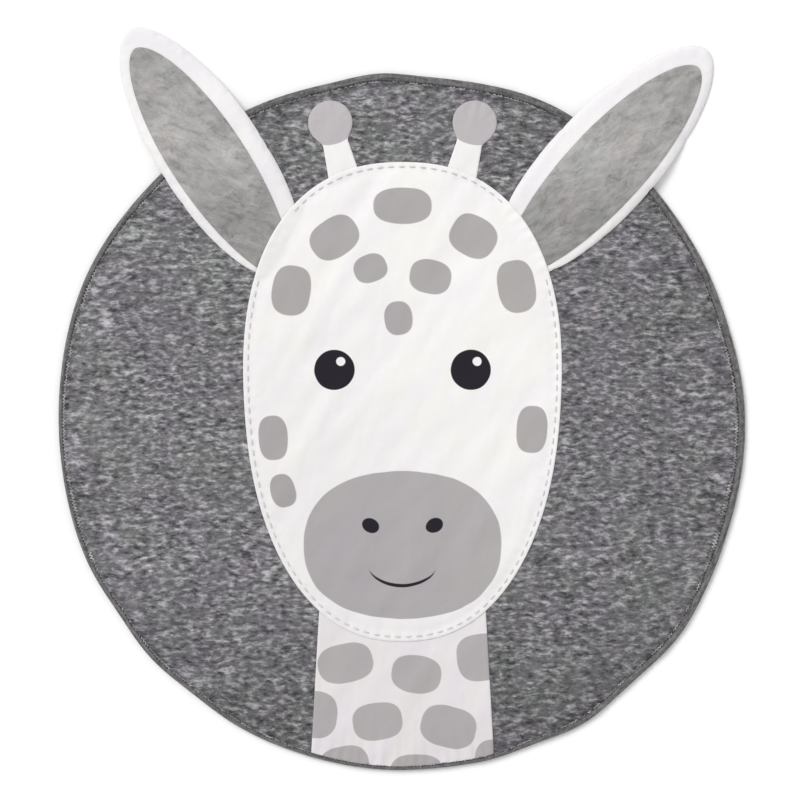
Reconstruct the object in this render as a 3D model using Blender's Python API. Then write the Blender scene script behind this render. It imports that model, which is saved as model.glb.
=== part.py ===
"""Round padded play mat with an animal face: metres, +Z up.

The mat lies face up on the floor. The origin is the middle of its flat underside, +Y points to
the ears and +X to the right of the face. The face is built in layers, as it is sewn: the horn and
neck panels and the stuffed ears lie on the padded body, and the head panel covers their roots.

One set of triangles covers the whole mat and follows every outline, so that each piece lies on
the one below it with an even gap.
"""

import math
from collections import namedtuple

import bmesh
import bpy
import numpy as np
from mathutils import Vector
from mathutils.geometry import delaunay_2d_cdt

# Padded body and rim
MAT_RADIUS = 0.499          # outside of the edge binding
RIM_STEPS = 120             # points round the rim
BINDING_HEIGHT = 0.0105
BINDING_SHOULDER = 0.0055   # height at which the rolled top begins
BINDING_FOOT_SHARE = 0.85   # width of the flat foot, as a share of the binding's
BINDING_SIDES = 5           # faces of the rolled top
SEAM_HEIGHT = 0.009         # body thickness at the binding's seam
MIDDLE_HEIGHT = 0.0175      # body thickness away from the rim
SHOULDER = 0.080            # from the seam to the full thickness

# Cloth
GAP = 0.0004                # between two pieces that touch
EDGE_CLEARANCE = 0.002      # under cloth that passes over the binding
PANEL_THICKNESS = 0.0015
DRAPE_SLOPE = 0.35          # steepest fall of the head panel from what it covers
LINING_THICKNESS = 0.0012

# Head panel: an egg of superellipse form
HEAD_CENTRE_Y = 0.030
HEAD_HALF_HEIGHT = 0.345
HEAD_HALF_WIDTH = 0.228
HEAD_POWER = 2.3
HEAD_TAPER = 0.08           # share by which the top is wider and the chin narrower
HEAD_STEPS = 100
STITCH_INSET = 0.009        # running stitch, inside the head's edge; it catches the roots below
STITCH_DEPTH = 0.0012
STITCH_REACH = 0.014

# Neck panel, cut off by the rim
NECK_TOP_Y = -0.254         # under the head panel
NECK_BOTTOM_Y = -0.520
NECK_TOP_HALF_WIDTH = 0.119
NECK_BOTTOM_HALF_WIDTH = 0.134
NECK_STEPS = 13

# Horn panels: a slim stem with a round knob
HORN_ROOT = (0.080, 0.338)  # under the head panel
HORN_KNOB = (0.104, 0.432)
HORN_ROOT_HALF_WIDTH = 0.024
HORN_STEM_HALF_WIDTH = 0.018
HORN_KNOB_RADIUS = 0.032
HORN_STEPS = 12

# Stuffed ears: a plain leaf form
EAR_ROOT_OVERRUN = 0.005    # how far the leaf form runs on past the start of the outline
EAR_WIDEST = 0.200          # from the start of the outline to the widest place
EAR_TIP_POWER = 0.55        # 0.5 is a round tip, 1 a pointed one
EAR_ROOT_TUCK = 0.055       # from the start of the outline to the head's edge
EAR_EDGE = 0.003
EAR_CROWN = 0.0155
EAR_SWELL = 0.062           # from the ear's seam to its full thickness
EAR_ROOT_RUN = 0.090        # along which the stuffing fades towards the head's edge
EAR_ROOT_FILL = 0.05
EAR_STEPS = 26
EAR_FALL = 0.092            # length over which the ear comes down to the floor
LINING_MARGIN = 0.023       # white margin round the grey cloth
LINING_TIP_SHARE = 1.25     # the margin at the tip, as a share of the margin at the sides
LINING_ROOT = 0.012         # from the start of the ear's outline to the grey cloth's
LINING_SHIFT = 0.007        # towards the ear's outer side, where the white margin is narrower

# Triangles
BODY_MESH_STEP = 0.027
EAR_MESH_STEP = 0.018
FLOOR_MESH_STEP = 0.110
MERGE = 0.00001             # points nearer than this are one
OUTLINE_CLEARANCE = 0.0085  # free space kept between an outline and the points of the grid

# Unevenness of the rim: a row for each bulge or flat stretch
RimWave = namedtuple("RimWave", "angle_deg rise spread_deg")
RIM_WAVES = (
    RimWave(17, -0.0085, 9),
    RimWave(-5, -0.0040, 9),
    RimWave(35, -0.0050, 8),
    RimWave(66, 0.0070, 8),
    RimWave(94, 0.0055, 4),
    RimWave(118, 0.0045, 9),
    RimWave(154, 0.0040, 9),
    RimWave(186, -0.0035, 13),
    RimWave(214, -0.0050, 5),
    RimWave(232, -0.0045, 5),
    RimWave(268, 0.0022, 9),
    RimWave(285, 0.0030, 4),
    RimWave(301, 0.0075, 5),
    RimWave(322, 0.0050, 5),
    RimWave(342, -0.0030, 6),
)

# Width of the binding as seen from above: it rolls under more at the bottom and the left
BindingWidth = namedtuple("BindingWidth", "angle_deg width")
BINDING_WIDTHS = (
    BindingWidth(0, 0.0110),
    BindingWidth(45, 0.0125),
    BindingWidth(90, 0.0120),
    BindingWidth(130, 0.0110),
    BindingWidth(165, 0.0080),
    BindingWidth(188, 0.0060),
    BindingWidth(215, 0.0085),
    BindingWidth(245, 0.0070),
    BindingWidth(268, 0.0055),
    BindingWidth(292, 0.0075),
    BindingWidth(315, 0.0110),
)

# Soft folds and hollows of the padded body: a row for each
Fold = namedtuple("Fold", "x y angle_deg half_length half_width rise")
FOLDS = (
    Fold(-0.090, 0.215, 52, 0.110, 0.022, 0.0018),
    Fold(-0.020, 0.120, 48, 0.120, 0.024, -0.0014),
    Fold(0.105, 0.165, 58, 0.100, 0.020, 0.0016),
    Fold(0.150, 0.020, 64, 0.090, 0.024, -0.0014),
    Fold(-0.135, -0.030, 50, 0.100, 0.026, 0.0015),
    Fold(0.020, -0.190, 88, 0.090, 0.020, 0.0014),
    Fold(0.070, -0.235, 75, 0.070, 0.018, -0.0012),
    Fold(-0.330, 0.060, 78, 0.120, 0.035, 0.0016),
    Fold(-0.300, -0.210, 35, 0.110, 0.034, -0.0016),
    Fold(0.330, 0.090, 100, 0.120, 0.034, 0.0015),
    Fold(0.300, -0.240, 140, 0.110, 0.036, -0.0016),
    Fold(0.000, -0.400, 84, 0.070, 0.022, 0.0015),
)

# The two ears as they lie: root at the head's edge, tip on the floor past the rim
Ear = namedtuple("Ear", "side mirror root tip half_width")
EARS = (
    Ear("left", -1.0, (-0.194, 0.262), (-0.396, 0.567), 0.077),
    Ear("right", 1.0, (0.186, 0.262), (0.441, 0.538), 0.079),
)

Finish = namedtuple("Finish", "colour roughness")
HEATHER_GREY = Finish((0.190, 0.185, 0.192), 0.95)
BINDING_GREY = Finish((0.150, 0.150, 0.160), 0.80)
WHITE_COTTON = Finish((0.860, 0.860, 0.870), 0.90)
LINING_GREY = Finish((0.410, 0.400, 0.395), 0.92)


def ease(share):
    """A smooth step from 0 to 1."""
    share = np.clip(share, 0.0, 1.0)
    return share * share * (3.0 - 2.0 * share)


def dome(share):
    """A quarter of a parabola: steep at 0, level at 1."""
    return 1.0 - (1.0 - np.clip(share, 0.0, 1.0)) ** 2


def rim_radius(angles):
    """Radius of the uneven rim at some angles in radians."""
    degrees = np.degrees(angles)
    radius = np.full(degrees.shape, MAT_RADIUS)
    for wave in RIM_WAVES:
        away = (degrees - wave.angle_deg + 180.0) % 360.0 - 180.0
        radius += wave.rise * np.exp(-0.5 * (away / wave.spread_deg) ** 2)
    return radius


def binding_width(angles):
    """Width of the binding at some angles in radians."""
    rows = np.array(BINDING_WIDTHS)
    return np.interp(np.degrees(angles), rows[:, 0], rows[:, 1], period=360.0)


def rim_outline(binding_share=0.0, inset=0.0):
    """The rim's outline: 0 is the binding's outer edge and 1 is its seam."""
    angles = np.linspace(0.0, 2.0 * math.pi, RIM_STEPS, endpoint=False)
    radius = rim_radius(angles) - binding_share * binding_width(angles) - inset
    return np.stack([radius * np.cos(angles), radius * np.sin(angles)], axis=1)


def head_outline(inset=0.0):
    """The head's egg, or the same egg drawn a little smaller."""
    angles = np.linspace(0.0, 2.0 * math.pi, HEAD_STEPS, endpoint=False)
    cosine, sine = np.cos(angles), np.sin(angles)
    across = np.sign(cosine) * np.abs(cosine) ** (2.0 / HEAD_POWER)
    along = np.sign(sine) * np.abs(sine) ** (2.0 / HEAD_POWER)
    x = (HEAD_HALF_WIDTH - inset) * across * (1.0 + HEAD_TAPER * along)
    y = HEAD_CENTRE_Y + (HEAD_HALF_HEIGHT - inset) * along
    return np.stack([x, y], axis=1)


def band_outline(root, tip, distances, half_widths):
    """An outline that is even about the line from root to tip."""
    root, tip = np.array(root), np.array(tip)
    along = (tip - root) / np.linalg.norm(tip - root)
    across = np.array([-along[1], along[0]])
    middle = root + distances[:, None] * along
    left = middle + half_widths[:, None] * across
    right = middle - half_widths[:, None] * across
    ends_in_point = half_widths[-1] < 1e-6
    return np.concatenate([right, left[::-1][1 if ends_in_point else 0:]])


def neck_outline():
    """A column that widens a little towards the rim and runs past it."""
    y = np.linspace(NECK_TOP_Y, NECK_BOTTOM_Y, NECK_STEPS)
    half_widths = np.interp(y, [NECK_BOTTOM_Y, NECK_TOP_Y],
                            [NECK_BOTTOM_HALF_WIDTH, NECK_TOP_HALF_WIDTH])
    top, bottom = (0.0, NECK_TOP_Y), (0.0, NECK_BOTTOM_Y)
    return band_outline(top, bottom, NECK_TOP_Y - y, half_widths)


def horn_outline(mirror):
    """A stem with a round knob; mirror is -1 for the left horn."""
    root, knob = np.array(HORN_ROOT), np.array(HORN_KNOB)
    centre = np.linalg.norm(knob - root)
    neck = centre - math.sqrt(HORN_KNOB_RADIUS ** 2 - HORN_STEM_HALF_WIDTH ** 2)
    stem = np.linspace(0.0, neck, HORN_STEPS // 2, endpoint=False)
    stem_width = np.interp(stem, [0.0, neck], [HORN_ROOT_HALF_WIDTH, HORN_STEM_HALF_WIDTH])
    start = math.acos((neck - centre) / HORN_KNOB_RADIUS)
    turn = np.linspace(start, 0.0, HORN_STEPS)
    distances = np.concatenate([stem, centre + HORN_KNOB_RADIUS * np.cos(turn)])
    half_widths = np.concatenate([stem_width, HORN_KNOB_RADIUS * np.sin(turn)])
    flip = np.array([mirror, 1.0])
    return band_outline(root * flip, knob * flip, distances, half_widths)


def ear_axis(ear):
    """Where the ear's outline starts, its unit direction and its length to the tip."""
    root, tip = np.array(ear.root), np.array(ear.tip)
    along = (tip - root) / np.linalg.norm(tip - root)
    start = root - EAR_ROOT_TUCK * along
    return start, along, np.linalg.norm(tip - start)


def leaf_half_width(distance, length, widest):
    """Half width of a leaf form at a distance from its start."""
    before = EAR_WIDEST + EAR_ROOT_OVERRUN
    after = length - EAR_WIDEST
    root_power = EAR_TIP_POWER * before / after
    rise = ((distance + EAR_ROOT_OVERRUN) / before) ** root_power
    fall = (np.maximum(length - distance, 0.0) / after) ** EAR_TIP_POWER
    return widest * rise * fall


def ear_outline(ear, start=0.0, margin=0.0, shift=0.0):
    """The ear's leaf form, or the smaller leaf of grey cloth on its front."""
    origin, along, length = ear_axis(ear)
    origin = origin + ear.mirror * shift * np.array([along[1], -along[0]])
    length -= LINING_TIP_SHARE * margin
    turn = np.linspace(0.0, 0.5 * math.pi, EAR_STEPS)
    distance = start + (length - start) * np.sin(turn)
    half_width = leaf_half_width(distance, length, ear.half_width - margin)
    return band_outline(origin, origin + along, distance, half_width)


def inside(points, outline):
    """Which of the points lie inside a closed outline."""
    x, y = points[:, 0:1], points[:, 1:2]
    x0, y0 = outline[:, 0], outline[:, 1]
    x1, y1 = np.roll(x0, -1), np.roll(y0, -1)
    spans = (y0 > y) != (y1 > y)
    rise = np.where(y1 == y0, 1.0, y1 - y0)
    to_the_right = x < x0 + (y - y0) * (x1 - x0) / rise
    return (spans & to_the_right).sum(axis=1) % 2 == 1


def edge_distance(points, outline):
    """Distance from each point to a closed outline."""
    step = np.roll(outline, -1, axis=0) - outline
    offset = points[:, None, :] - outline[None, :, :]
    share = np.clip((offset * step).sum(axis=2) / (step ** 2).sum(axis=1), 0.0, 1.0)
    gap = offset - share[:, :, None] * step
    return np.sqrt((gap ** 2).sum(axis=2)).min(axis=1)


def hex_grid(step, reach):
    """Points of an even triangular grid over a square about the origin."""
    rows = int(reach / (step * math.sqrt(0.75)))
    columns = int(reach / step) + 1
    points = []
    for row in range(-rows, rows + 1):
        shift = 0.5 * step * (row % 2)
        for column in range(-columns, columns + 1):
            points.append((column * step + shift, row * step * math.sqrt(0.75)))
    return np.array(points)


def triangles_over(outlines, points):
    """Triangles through some points whose edges follow every outline."""
    corners = [Vector(p) for outline in outlines for p in outline]
    edges = []
    start = 0
    for outline in outlines:
        count = len(outline)
        edges += [(start + i, start + (i + 1) % count) for i in range(count)]
        start += count
    corners += [Vector(p) for p in points]
    result = delaunay_2d_cdt(corners, edges, [], 0, MERGE)
    return np.array([tuple(v) for v in result[0]]), np.array(result[2])


def body_top(points):
    """Height of the padded body: low at the seam, fuller inside, with soft folds."""
    angles = np.arctan2(points[:, 1], points[:, 0])
    from_middle = np.hypot(points[:, 0], points[:, 1])
    from_seam = rim_radius(angles) - binding_width(angles) - from_middle
    height = SEAM_HEIGHT + (MIDDLE_HEIGHT - SEAM_HEIGHT) * dome(from_seam / SHOULDER)
    height += folds_at(points) * ease(from_seam / SHOULDER)
    stitched = 1.0 - ease(edge_distance(points, head_outline(STITCH_INSET)) / STITCH_REACH)
    return height - STITCH_DEPTH * stitched


def folds_at(points):
    """Sum of the soft folds and hollows."""
    total = np.zeros(len(points))
    for fold in FOLDS:
        angle = math.radians(fold.angle_deg)
        dx, dy = points[:, 0] - fold.x, points[:, 1] - fold.y
        along = dx * math.cos(angle) + dy * math.sin(angle)
        across = dy * math.cos(angle) - dx * math.sin(angle)
        reach = (along / fold.half_length) ** 2 + (across / fold.half_width) ** 2
        total += fold.rise * np.exp(-0.5 * reach)
    return total


def ear_underside(points, below):
    """Underside of an ear: on the body, clear of the binding, then down to the floor."""
    angles = np.arctan2(points[:, 1], points[:, 0])
    past_rim = np.hypot(points[:, 0], points[:, 1]) - rim_radius(angles)
    bridge = BINDING_HEIGHT + EDGE_CLEARANCE
    falling = bridge * (1.0 - ease((past_rim - EDGE_CLEARANCE) / EAR_FALL))
    on_body = past_rim < -binding_width(angles)
    return np.where(on_body, np.maximum(below + GAP, bridge), falling)


def draped(points, surface, covered):
    """Height of cloth that rests on a surface and falls from its high places no steeper than
    it can; only the points that it covers hold it up."""
    apart = np.linalg.norm(points[:, None, :] - points[None, covered, :], axis=2)
    return (surface[covered] - DRAPE_SLOPE * apart).max(axis=1)


def ear_thickness(points, ear):
    """Thickness of a stuffed ear: thin at its seam and towards its root."""
    _, along, _ = ear_axis(ear)
    from_root = (points - np.array(ear.root)) @ along
    fill = EAR_ROOT_FILL + (1.0 - EAR_ROOT_FILL) * ease(from_root / EAR_ROOT_RUN)
    swell = dome(edge_distance(points, ear_outline(ear)) / EAR_SWELL)
    return EAR_EDGE + (EAR_CROWN - EAR_EDGE) * swell * fill


def material(name, finish):
    """A Principled material."""
    result = bpy.data.materials.new(name)
    result.use_nodes = True
    shader = result.node_tree.nodes["Principled BSDF"]
    shader.inputs["Base Color"].default_value = (*finish.colour, 1.0)
    shader.inputs["Roughness"].default_value = finish.roughness
    shader.inputs["Metallic"].default_value = 0.0
    result.diffuse_color = (*finish.colour, 1.0)
    return result


def add_object(name, shape, finish):
    """Turns a closed bmesh into a named object."""
    bmesh.ops.recalc_face_normals(shape, faces=shape.faces)
    mesh = bpy.data.meshes.new(name)
    shape.to_mesh(mesh)
    shape.free()
    mesh.shade_smooth()
    mesh.set_sharp_from_angle(angle=math.radians(45.0))
    mesh.materials.append(material(name, finish))
    bpy.context.scene.collection.objects.link(bpy.data.objects.new(name, mesh))


def border(triangles):
    """Edges that only one triangle has, each as that triangle runs round it."""
    edges = {(t[i], t[(i + 1) % 3]) for t in triangles for i in range(3)}
    return sorted(edge for edge in edges if edge[::-1] not in edges)


def flat_bottom(shape, low, edges):
    """Fills a closed border at floor level with large flat triangles."""
    follow = dict(edges)
    loop = [edges[0][0]]
    while follow[loop[-1]] != loop[0]:
        loop.append(follow[loop[-1]])
    rim = np.array([low[i].co.xy for i in loop])
    grid = hex_grid(FLOOR_MESH_STEP, MAT_RADIUS)
    grid = grid[inside(grid, rim)]
    grid = grid[edge_distance(grid, rim) > 0.5 * FLOOR_MESH_STEP]
    corners = [low[i] for i in loop] + [shape.verts.new((*p, 0.0)) for p in grid]
    ring = [(i, (i + 1) % len(loop)) for i in range(len(loop))]
    result = delaunay_2d_cdt([v.co.xy for v in corners], ring, [], 1, MERGE)
    for triangle in result[2]:
        shape.faces.new([corners[result[3][i][0]] for i in reversed(triangle)])


def layer(name, plan, covered, bottom, top, finish, on_floor=False):
    """A closed piece over some of the plan's triangles, from its bottom to its top."""
    points, triangles = plan
    chosen = [tuple(int(i) for i in t) for t in triangles[covered]]
    used = sorted({i for t in chosen for i in t})
    shape = bmesh.new()
    low_used = used
    if on_floor:
        low_used = sorted({i for edge in border(chosen) for i in edge})
    low = {i: shape.verts.new((*points[i], bottom[i])) for i in low_used}
    high = {i: shape.verts.new((*points[i], top[i])) for i in used}
    for a, b, c in chosen:
        shape.faces.new((high[a], high[b], high[c]))
    for a, b in border(chosen):
        shape.faces.new((low[a], low[b], high[b], high[a]))
    if on_floor:
        flat_bottom(shape, low, border(chosen))
    else:
        for a, b, c in chosen:
            shape.faces.new((low[c], low[b], low[a]))
    add_object(name, shape, finish)


def edge_binding():
    """The rolled band round the rim: flat foot, upright inner wall, rounded outside."""
    inner, outer = rim_outline(1.0, -GAP), rim_outline()
    roll = BINDING_HEIGHT - BINDING_SHOULDER
    section = [(0.0, 0.0)]
    for step in range(BINDING_SIDES + 1):
        turn = math.pi * (1.0 - step / BINDING_SIDES)
        section.append((0.5 * (1.0 + math.cos(turn)), BINDING_SHOULDER + roll * math.sin(turn)))
    section.append((BINDING_FOOT_SHARE, 0.0))
    shape = bmesh.new()
    rings = []
    for start, end in zip(inner, outer):
        ring = [(*(start + share * (end - start)), z) for share, z in section]
        rings.append([shape.verts.new(point) for point in ring])
    for ring, following in zip(rings, rings[1:] + rings[:1]):
        for i in range(len(section)):
            j = (i + 1) % len(section)
            shape.faces.new((ring[i], ring[j], following[j], following[i]))
    add_object("edge_binding", shape, BINDING_GREY)


def grid_points(outlines, ears):
    """Inner points of the plan: an even grid, finer in the ears, clear of every outline."""
    body = hex_grid(BODY_MESH_STEP, MAT_RADIUS)
    body = body[inside(body, outlines[0])]
    fine = hex_grid(EAR_MESH_STEP, 1.5 * MAT_RADIUS)
    in_ear = [inside(fine, ear) for ear in ears]
    fine = fine[np.logical_or(*in_ear)]
    for ear in ears:
        body = body[~inside(body, ear)]
    points = np.concatenate([body, fine])
    for outline in outlines:
        points = points[edge_distance(points, outline) > OUTLINE_CLEARANCE]
    return points


def build():
    """Lays out the plan and stacks the pieces on it."""
    body_line = rim_outline(1.0)
    binding_line = rim_outline()
    head_line, stitch_line = head_outline(), head_outline(STITCH_INSET)
    horn_lines = {"left": horn_outline(-1.0), "right": horn_outline(1.0)}
    neck_line = neck_outline()
    ear_lines = {ear.side: ear_outline(ear) for ear in EARS}
    lining_lines = {ear.side: ear_outline(ear, LINING_ROOT, LINING_MARGIN, LINING_SHIFT)
                    for ear in EARS}
    outlines = [body_line, binding_line, head_line, stitch_line, neck_line]
    for lines in (horn_lines, ear_lines, lining_lines):
        outlines += lines.values()
    points, triangles = triangles_over(outlines, grid_points(outlines, list(ear_lines.values())))
    plan = points, triangles
    middles = points[triangles].mean(axis=1)
    on_body = inside(middles, body_line)
    past_stitch = ~inside(middles, stitch_line)
    floor = np.zeros(len(points))
    surface = body_top(points)
    layer("mat_body", plan, on_body, floor, surface, HEATHER_GREY, on_floor=True)
    edge_binding()

    def lay(name, covered, bottom, thickness, finish):
        """Makes one piece and raises the surface that the next ones lie on."""
        top = bottom + thickness
        layer(name, plan, covered, bottom, top, finish)
        corners = np.unique(triangles[covered])
        surface[corners] = np.maximum(surface[corners], top[corners])

    covered = on_body & past_stitch & inside(middles, neck_line)
    lay("neck_panel", covered, surface + GAP, PANEL_THICKNESS, WHITE_COTTON)
    for side, line in horn_lines.items():
        covered = past_stitch & inside(middles, line)
        lay(f"horn_{side}", covered, surface + GAP, PANEL_THICKNESS, WHITE_COTTON)
    for ear in EARS:
        covered = past_stitch & inside(middles, ear_lines[ear.side])
        bottom = ear_underside(points, surface)
        lay(f"ear_{ear.side}", covered, bottom, ear_thickness(points, ear), WHITE_COTTON)
        covered = past_stitch & inside(middles, lining_lines[ear.side])
        lay(f"ear_lining_{ear.side}", covered, surface + GAP, LINING_THICKNESS, LINING_GREY)
    covered = inside(middles, head_line)
    bottom = draped(points, surface, np.unique(triangles[covered])) + GAP
    lay("head_panel", covered, bottom, PANEL_THICKNESS, WHITE_COTTON)


for old in list(bpy.data.objects):
    bpy.data.objects.remove(old)
build()
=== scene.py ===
"""Looks of the round padded play mat: metres, +Z up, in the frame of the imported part.

Every piece is cut flat as a pattern of small triangles, then laid on what is already there:
the padded body, the binding, the neck and horn panels, the stuffed ears with their grey
lining cloth, and the head panel on top with its running stitch.
"""

import logging
import math
from collections.abc import Callable, Sequence
from dataclasses import dataclass
from enum import Enum

import bpy
import numpy as np
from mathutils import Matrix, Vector
from mathutils.bvhtree import BVHTree
from mathutils.geometry import delaunay_2d_cdt

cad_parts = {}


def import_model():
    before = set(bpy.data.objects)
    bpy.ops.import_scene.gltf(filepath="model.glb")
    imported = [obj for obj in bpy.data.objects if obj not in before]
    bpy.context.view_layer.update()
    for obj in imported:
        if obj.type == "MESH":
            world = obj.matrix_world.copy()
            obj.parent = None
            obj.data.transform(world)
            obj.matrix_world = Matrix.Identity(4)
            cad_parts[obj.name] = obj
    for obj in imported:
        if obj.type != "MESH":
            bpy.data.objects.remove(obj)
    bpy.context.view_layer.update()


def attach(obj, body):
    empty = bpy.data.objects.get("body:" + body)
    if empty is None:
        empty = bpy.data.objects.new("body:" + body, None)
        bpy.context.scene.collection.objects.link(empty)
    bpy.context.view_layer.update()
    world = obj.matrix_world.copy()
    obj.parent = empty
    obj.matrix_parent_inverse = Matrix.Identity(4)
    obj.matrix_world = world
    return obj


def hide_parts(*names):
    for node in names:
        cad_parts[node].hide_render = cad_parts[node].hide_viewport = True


LOG = logging.getLogger("play_mat")

GAP = 0.0004                # between two pieces that touch
SAMENESS = 0.000001         # points of a pattern nearer than this are one
CHUNK = 3000                # points handled at a time where each is set against a whole line
EDGE_RINGS = (0.0005, 0.0014, 0.0030)   # rows of points that let a cloth edge turn over
RING_ROOM = 0.9             # least distance of such a row from any edge, as a share of its inset
GRID_ROOM = 0.6             # least distance of a grid's points from its border, as a share of its step
EDGE_THINNESS = 0.45        # share of a sheet's thickness that is left at its very edge

Colour = tuple[float, float, float]
Cover = Callable[[np.ndarray], np.ndarray]
Profile = Callable[[np.ndarray], np.ndarray]


class Slot(Enum):
    """Material slot names, handed to seat with each piece."""

    HEATHER = "heather_cloth"
    BINDING = "binding_cloth"
    COTTON = "white_cotton"
    LINING = "lining_cloth"


class Held(Enum):
    """How a sheet of cloth lies."""

    LAID = "laid"
    FOLDED = "folded"


class Side(Enum):
    """Left and right of the face, with the sign of X."""

    LEFT = -1
    RIGHT = 1

    @property
    def word(self) -> str:
        """The side's name in the part's nodes."""
        return self.name.lower()


# Plane geometry


def ease(share: np.ndarray) -> np.ndarray:
    """A smooth step from 0 to 1."""
    share = np.clip(share, 0.0, 1.0)
    return share * share * (3.0 - 2.0 * share)


def dome(share: np.ndarray) -> np.ndarray:
    """A quarter of a parabola: steep at 0, level at 1."""
    return 1.0 - (1.0 - np.clip(share, 0.0, 1.0)) ** 2


def edge_share(from_edge: np.ndarray) -> np.ndarray:
    """Share of a sheet's full thickness: the cloth turns over at its edge."""
    return EDGE_THINNESS + (1.0 - EDGE_THINNESS) * dome(from_edge / EDGE_RINGS[-1])


def rim_bell(angles: np.ndarray, centre_deg: float, spread_deg: float) -> np.ndarray:
    """A bell of height 1 about one place of the rim, for angles in radians."""
    away = (np.degrees(angles) - centre_deg + 180.0) % 360.0 - 180.0
    return np.exp(-0.5 * (away / spread_deg) ** 2)


def from_polar(radius: np.ndarray, angles: np.ndarray) -> np.ndarray:
    """Points at some distances and angles from the middle."""
    return np.column_stack([radius * np.cos(angles), radius * np.sin(angles)])


def resampled(outline: np.ndarray, step: float) -> np.ndarray:
    """A closed outline with points an even distance apart.

    Args:
        outline: corners in order, one row each.
        step: distance wanted between the new points.

    Returns:
        The new points in order.
    """
    closed = np.vstack([outline, outline[:1]])
    along = np.concatenate([[0.0], np.cumsum(np.hypot(*np.diff(closed, axis=0).T))])
    count = max(12, round(along[-1] / step))
    places = np.linspace(0.0, along[-1], count, endpoint=False)
    return np.column_stack([np.interp(places, along, closed[:, axis]) for axis in (0, 1)])


def normals_of(outline: np.ndarray) -> np.ndarray:
    """Unit normals at the points of a closed outline.

    Args:
        outline: corners in order, one row each.

    Returns:
        One normal for each corner.
    """
    run = np.roll(outline, -1, axis=0) - np.roll(outline, 1, axis=0)
    run /= np.maximum(np.hypot(*run.T), SAMENESS)[:, None]
    return np.column_stack([run[:, 1], -run[:, 0]])


def segment_distance(points: np.ndarray, starts: np.ndarray, ends: np.ndarray) -> np.ndarray:
    """Distance from each point to the nearest of some straight segments.

    Args:
        points: one row for each point.
        starts: first ends of the segments.
        ends: other ends of the segments.

    Returns:
        One distance for each point.
    """
    run = ends - starts
    squared = np.maximum((run ** 2).sum(axis=1), SAMENESS ** 2)
    result = np.empty(len(points))
    for first in range(0, len(points), CHUNK):
        offset = points[first:first + CHUNK, None, :] - starts[None]
        share = np.clip(np.einsum("ijk,jk->ij", offset, run) / squared, 0.0, 1.0)
        offset -= share[..., None] * run
        result[first:first + CHUNK] = np.sqrt(np.einsum("ijk,ijk->ij", offset, offset).min(axis=1))
    return result


def outline_distance(points: np.ndarray, outline: np.ndarray) -> np.ndarray:
    """Distance from each point to a closed outline."""
    return segment_distance(points, outline, np.roll(outline, -1, axis=0))


def hex_grid(step: float, low: np.ndarray, high: np.ndarray) -> np.ndarray:
    """Points of an even triangular grid over a box.

    Args:
        step: distance between neighbours.
        low: lower left corner of the box.
        high: upper right corner of the box.

    Returns:
        One row for each point.
    """
    rise = step * math.sqrt(0.75)
    rows = np.arange(low[1], high[1], rise)
    columns = np.arange(low[0], high[0], step)
    x = columns[None, :] + 0.5 * step * (np.arange(len(rows)) % 2)[:, None]
    return np.column_stack([x.ravel(), np.repeat(rows, len(columns))])


def two_sided(start: np.ndarray, along: np.ndarray, length: float, steps: int,
              half_widths: Profile) -> np.ndarray:
    """Outline of a form that is the same on both sides of its middle line.

    Args:
        start: first point of the middle line.
        along: unit direction of the middle line.
        length: length of the middle line.
        steps: number of points on a side, closer together towards the far end.
        half_widths: gives the half width at some distances from the start.

    Returns:
        The outline, from the start along one side to the far end and back.
    """
    distances = length * np.sin(np.linspace(0.0, 0.5 * math.pi, steps))
    offset = half_widths(distances)[:, None] * np.array([-along[1], along[0]])
    middle = start + distances[:, None] * along
    return np.concatenate([middle - offset, (middle + offset)[-2::-1]])


@dataclass(frozen=True)
class Fold:
    """One soft fold, or a hollow where its rise is negative."""

    x: float
    y: float
    angle_deg: float
    half_length: float
    half_width: float
    rise: float

    def at(self, points: np.ndarray) -> np.ndarray:
        """Height of the fold at some points.

        Args:
            points: one row for each point.

        Returns:
            One height for each point.
        """
        angle = math.radians(self.angle_deg)
        dx, dy = points[:, 0] - self.x, points[:, 1] - self.y
        along = dx * math.cos(angle) + dy * math.sin(angle)
        across = dy * math.cos(angle) - dx * math.sin(angle)
        return self.rise * np.exp(-0.5 * ((along / self.half_length) ** 2 + (across / self.half_width) ** 2))


def folded(points: np.ndarray, folds: tuple[Fold, ...]) -> np.ndarray:
    """Sum of some folds at some points."""
    return sum((fold.at(points) for fold in folds), np.zeros(len(points)))


@dataclass(frozen=True)
class Crumple:
    """Small uneven waves that cloth keeps from handling: a sum of seeded plane waves."""

    height: float
    shortest: float
    longest: float
    angle_deg: float
    spread_deg: float
    seed: int
    waves: int = 14

    def at(self, points: np.ndarray) -> np.ndarray:
        """Height of the waves at some points.

        Args:
            points: one row for each point.

        Returns:
            One height for each point, on either side of 0.
        """
        draw = np.random.default_rng(self.seed)
        angles = np.radians(self.angle_deg + self.spread_deg * draw.standard_normal(self.waves))
        lengths = np.exp(draw.uniform(math.log(self.shortest), math.log(self.longest), self.waves))
        phases = draw.uniform(0.0, 2.0 * math.pi, self.waves)
        total = np.zeros(len(points))
        for angle, length, phase in zip(angles, lengths, phases):
            across = points[:, 1] * math.cos(angle) - points[:, 0] * math.sin(angle)
            total += np.sin(2.0 * math.pi * across / length + phase)
        return self.height * total / math.sqrt(0.5 * self.waves)


# Outlines of the pieces


@dataclass(frozen=True)
class RimWave:
    """A bulge or a flat stretch of the rim."""

    angle_deg: float
    rise: float
    spread_deg: float


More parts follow.
